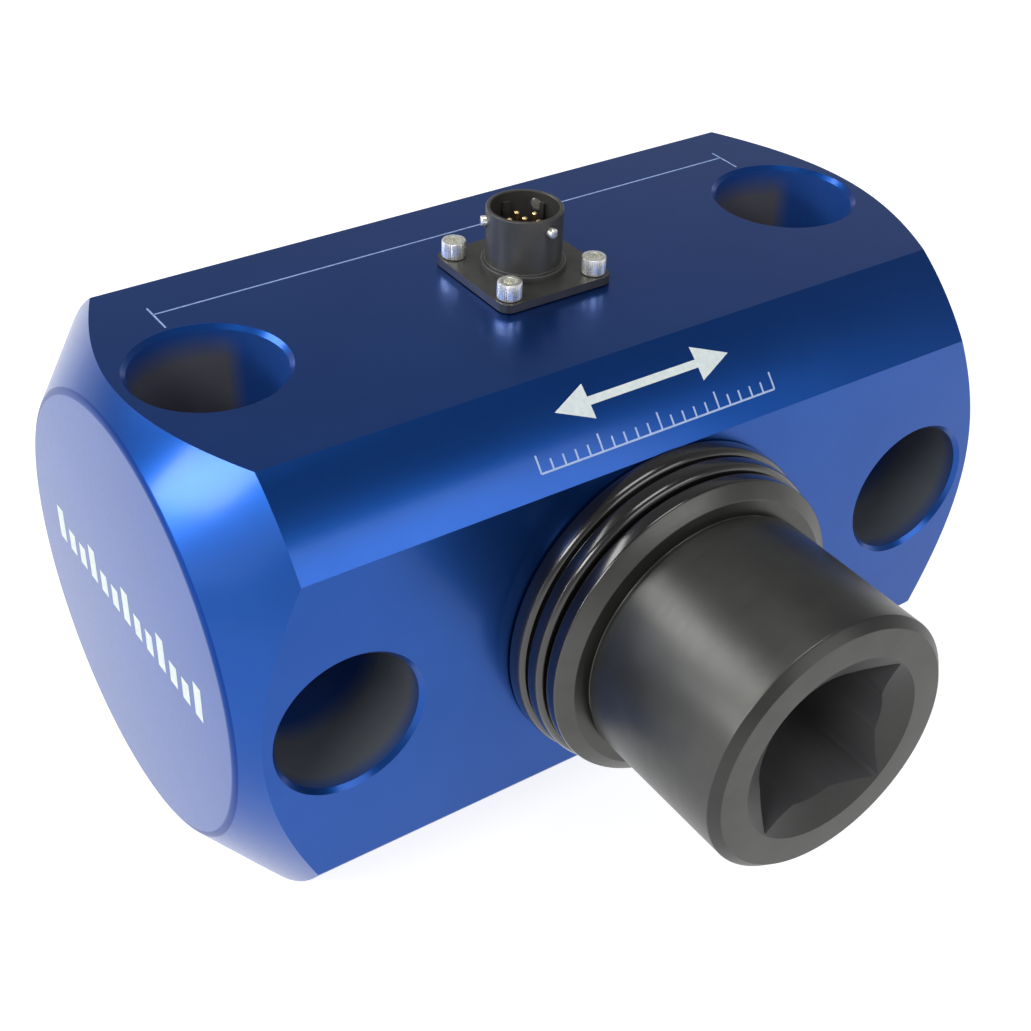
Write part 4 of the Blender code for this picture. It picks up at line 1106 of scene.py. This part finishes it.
def make_insert():
    """Moulded insulator with six contacts: one in the middle and five round it."""
    radius = INSERT_BORE_DIAMETER / 2 - FIT
    corners = [(0, INSERT_BOTTOM, 0), (radius, INSERT_BOTTOM, 0)]
    corners += [(radius, INSERT_TOP, FINE_EDGE), (0, INSERT_TOP, 0)]
    body = turned_upright("contact_carrier", rounded(corners))
    circle = on_circle(PIN_CIRCLE_RADIUS, PIN_COUNT - 1, PIN_FIRST_ANGLE)
    places = [(0.0, 0.0)] + [(x, y) for x, y, _ in circle]
    pin = PIN_DIAMETER / 2
    hole = plain(pin + FIT, BOSS_BOTTOM, INSERT_TOP + PAST)
    corners = [(0, PIN_BOTTOM, 0), (pin, PIN_BOTTOM, 0)]
    corners += [(pin, PIN_TOP, pin * PIN_POINT_SHARE), (0, PIN_TOP, 0)]
    for k, (x, y) in enumerate(places):
        combine(body, turned_upright("drill_contact", hole, x, y, SMALL_SIDES))
        contact = turned_upright(f"contact_{k + 1}", rounded(corners), x, y, SMALL_SIDES)
        show(contact, "gold", "contact", f"contact_pin_{k + 1}")
    show(settle(body), "insert_plastic", "insert", "connector_insert")


# Marks on the housing


def stroke(start, end, width):
    """Outline of a straight stroke between two points of the plane."""
    start = Vector(start)
    end = Vector(end)
    across = (end - start).normalized().orthogonal() * width / 2
    return [start - across, end - across, end + across, start + across]


def ticks(half, steps, height, lengths, long_every, width):
    """Outlines of a scale's strokes between -half and half, of which some are longer."""
    short_tick, long_tick = lengths
    outlines = []
    for step in range(steps + 1):
        x = half * (2 * step / steps - 1)
        tick = short_tick if step % long_every else long_tick
        outlines.append(stroke((x, height), (x, height + tick), width))
    return outlines


def mark(name, outlines, place=Matrix.Identity(4), look="pale_ink"):
    """Thin printed shapes in one piece, drawn in the plane and then put in their place."""
    shape = bmesh.new()
    for outline in outlines:
        base = shape.faces.new([shape.verts.new((x, y, -INK)) for x, y in outline])
        grown = bmesh.ops.extrude_face_region(shape, geom=[base])["geom"]
        moved = [element for element in grown if isinstance(element, bmesh.types.BMVert)]
        bmesh.ops.translate(shape, vec=(0, 0, 2 * INK), verts=moved)
    return show(to_object(name, shape, place), look, "housing")


def make_centre_line():
    """The line on the top flat, from one upright hole round behind the connector to the other."""
    left = -CENTRE_LINE_X
    right = CENTRE_LINE_X
    far = CENTRE_LINE_Y + CENTRE_LINE_OVERSHOOT
    outlines = [
        stroke((left, CENTRE_LINE_Y), (right, CENTRE_LINE_Y), LINE_WIDTH),
        stroke((left, CENTRE_LINE_START), (left, far), LINE_WIDTH),
        stroke((right, CENTRE_LINE_START), (right, far), LINE_WIDTH),
    ]
    mark("top_centre_line", outlines, Matrix.Translation((0, 0, TOP)), "line_ink")


def double_arrow(half_length, height, weight, head_length, head_width):
    """A double-headed arrow along the first axis, for the two senses of the torque."""
    neck = half_length - head_length
    upper = [(-half_length, 0), (-neck, head_width / 2), (-neck, weight / 2)]
    upper += [(neck, weight / 2), (neck, head_width / 2)]
    lower = [(-x, -y) for x, y in upper]
    return [(x, y + height) for x, y in upper + lower]


def make_strip_marks():
    """A double arrow over a plain scale, on the rounded strip between the top and the front flat."""
    arrow = double_arrow(ARROW_HALF, ARROW_HEIGHT, ARROW_WEIGHT, ARROW_HEAD_LENGTH, ARROW_HEAD_WIDTH)
    bend_on_bar(mark("torque_arrow", [arrow]))
    outlines = [stroke((-SCALE_HALF, SCALE_HEIGHT), (SCALE_HALF, SCALE_HEIGHT), LINE_WIDTH)]
    lengths = (SCALE_TICK, SCALE_LONG_TICK)
    outlines += ticks(SCALE_HALF, SCALE_STEPS, SCALE_HEIGHT, lengths, SCALE_LONG_EVERY, LINE_WIDTH)
    bend_on_bar(mark("torque_scale", outlines, look="scale_ink"))


def bend_on_bar(piece):
    """Bends a flat mark, drawn round the origin, onto the bar between the top and the front flat."""
    shape = bmesh.new()
    shape.from_mesh(piece.data)
    span = BAR_DIAMETER / 2 * math.radians(10)
    steps = 20
    for step in range(-steps, steps + 1):
        whole = list(shape.verts) + list(shape.edges) + list(shape.faces)
        cut = (0, span * step / steps * MM, 0)
        bmesh.ops.bisect_plane(shape, geom=whole, plane_co=cut, plane_no=(0, 1, 0))
    for vert in shape.verts:
        x, along, height = vert.co / MM
        lean = math.radians(STRIP_LEAN) - along / (BAR_DIAMETER / 2)
        radius = BAR_DIAMETER / 2 + height
        vert.co = Vector((x, -radius * math.sin(lean), HALF + radius * math.cos(lean))) * MM
    shape.to_mesh(piece.data)
    shape.free()
    shade(piece)


def make_end_marks():
    """A plain centre scale on the left end face, at the height of the drive's axis."""
    lengths = (END_MARK_TICK, END_MARK_LONG_TICK)
    outlines = ticks(END_MARK_HALF, END_MARK_STEPS, 0, lengths, END_MARK_LONG_EVERY, END_MARK_WIDTH)
    place = Matrix.Translation((-HOUSING_LENGTH / 2, 0, END_MARK_HEIGHT))
    place = place @ Matrix.Rotation(-math.pi / 2, 4, "Z") @ Matrix.Rotation(math.pi / 2, 4, "X")
    mark("end_scale", outlines, place)


# Scene

CAMERA_LENS = 59.15
CAMERA_PLACE = (-0.15891, -0.22573, 0.23658)
CAMERA_RIGHT = (0.82836, -0.55954, 0.02728)
CAMERA_UP = (0.31191, 0.50111, 0.80722)
CAMERA_BACK = (-0.46534, -0.66016, 0.58962)
FLOOR_RADIUS = 2500
FLOOR_GLOW = 0.86


def make_camera():
    data = bpy.data.cameras.new("camera")
    data.sensor_width = 36.0
    data.lens = CAMERA_LENS
    data.clip_start = 0.01
    camera = bpy.data.objects.new("camera", data)
    bpy.context.scene.collection.objects.link(camera)
    turn = Matrix((CAMERA_RIGHT, CAMERA_UP, CAMERA_BACK)).transposed()
    camera.matrix_world = Matrix.Translation(CAMERA_PLACE) @ turn.to_4x4()
    bpy.context.scene.camera = camera


def softbox(name, azimuth, elevation, size, radiance, distance=1.0):
    """An area lamp that faces the block from a direction in degrees, from +X towards +Y and upwards.

    A lamp's power is four times its radiance times its area."""
    width, height = size
    data = bpy.data.lights.new(name, "AREA")
    data.shape = "RECTANGLE"
    data.size = width
    data.size_y = height
    data.energy = 4 * radiance * width * height
    lamp = bpy.data.objects.new(name, data)
    bpy.context.scene.collection.objects.link(lamp)
    level = math.cos(math.radians(elevation))
    towards = Vector((
        level * math.cos(math.radians(azimuth)),
        level * math.sin(math.radians(azimuth)),
        math.sin(math.radians(elevation)),
    ))
    lamp.location = Vector(AXIS_POINT) * MM + towards * distance
    lamp.rotation_euler = towards.to_track_quat("Z", "Y").to_euler()


def make_lights():
    softbox("left_softbox", 168, 19.5, (0.28, 0.13), 13.0)
    softbox("left_fill", 178, 11, (0.42, 0.24), 0.9, 1.1)
    softbox("upper_left_softbox", 203, 37, (0.42, 0.26), 8.0)
    softbox("back_left_softbox", 133, 36, (0.54, 0.46), 5.2, 1.1)
    softbox("front_softbox", -73, 30, (0.62, 0.38), 2.1)
    softbox("overhead", 0, 88, (0.50, 0.50), 4.0, 1.2)


def make_world():
    """Pale at the horizon and grey above, as in a room with a low light tent."""
    world = bpy.data.worlds.new("studio")
    bpy.context.scene.world = world
    world.use_nodes = True
    nodes = world.node_tree.nodes
    links = world.node_tree.links
    place = nodes.new("ShaderNodeTexCoord")
    parts = nodes.new("ShaderNodeSeparateXYZ")
    ramp = nodes.new("ShaderNodeValToRGB")
    stops = ramp.color_ramp.elements
    stops[0].position = 0.0
    stops[0].color = (1, 1, 1, 1)
    stops[1].position = 1.0
    stops[1].color = (0.12, 0.12, 0.13, 1)
    for position, level in ((0.06, 0.95), (0.17, 0.42), (0.36, 0.30), (0.62, 0.25)):
        stop = stops.new(position)
        stop.color = (level, level, level, 1)
    links.new(place.outputs["Generated"], parts.inputs["Vector"])
    links.new(parts.outputs["Z"], ramp.inputs["Fac"])
    links.new(ramp.outputs["Color"], nodes["Background"].inputs["Color"])
    nodes["Background"].inputs["Strength"].default_value = 1.0


def make_floor():
    """White floor, which glows a little in the camera's view and in reflections."""
    shape = bmesh.new()
    bmesh.ops.create_circle(shape, cap_ends=True, segments=96, radius=FLOOR_RADIUS)
    floor = to_object("floor", shape)
    made = material_of("floor_white", (0.36, 0.36, 0.36), 0.6, 0.0, Emission_Color=(1, 1, 1, 1))
    rays = made.node_tree.nodes.new("ShaderNodeLightPath")
    seen = calculate(made, "MAXIMUM", rays.outputs["Is Camera Ray"], rays.outputs["Is Glossy Ray"])
    seen = calculate(made, "MAXIMUM", seen, rays.outputs["Is Transmission Ray"])
    glow = calculate(made, "MULTIPLY", seen, FLOOR_GLOW)
    shader = made.node_tree.nodes["Principled BSDF"]
    made.node_tree.links.new(glow, shader.inputs["Emission Strength"])
    floor.data.materials.append(made)


bpy.context.scene.view_settings.view_transform = "Standard"
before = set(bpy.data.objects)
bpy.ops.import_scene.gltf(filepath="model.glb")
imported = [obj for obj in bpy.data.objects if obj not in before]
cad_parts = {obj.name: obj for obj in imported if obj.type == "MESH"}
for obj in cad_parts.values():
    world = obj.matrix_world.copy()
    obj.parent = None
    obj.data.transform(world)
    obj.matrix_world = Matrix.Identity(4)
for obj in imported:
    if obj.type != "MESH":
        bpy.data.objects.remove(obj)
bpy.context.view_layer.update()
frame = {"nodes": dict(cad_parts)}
make_materials()
make_camera()
make_world()
make_floor()
make_lights()
dress_nodes(frame)
make_housing()
make_shaft()
make_collar()
make_anchor()
make_retainer()
make_connector()
make_centre_line()
make_strip_marks()
make_end_marks()
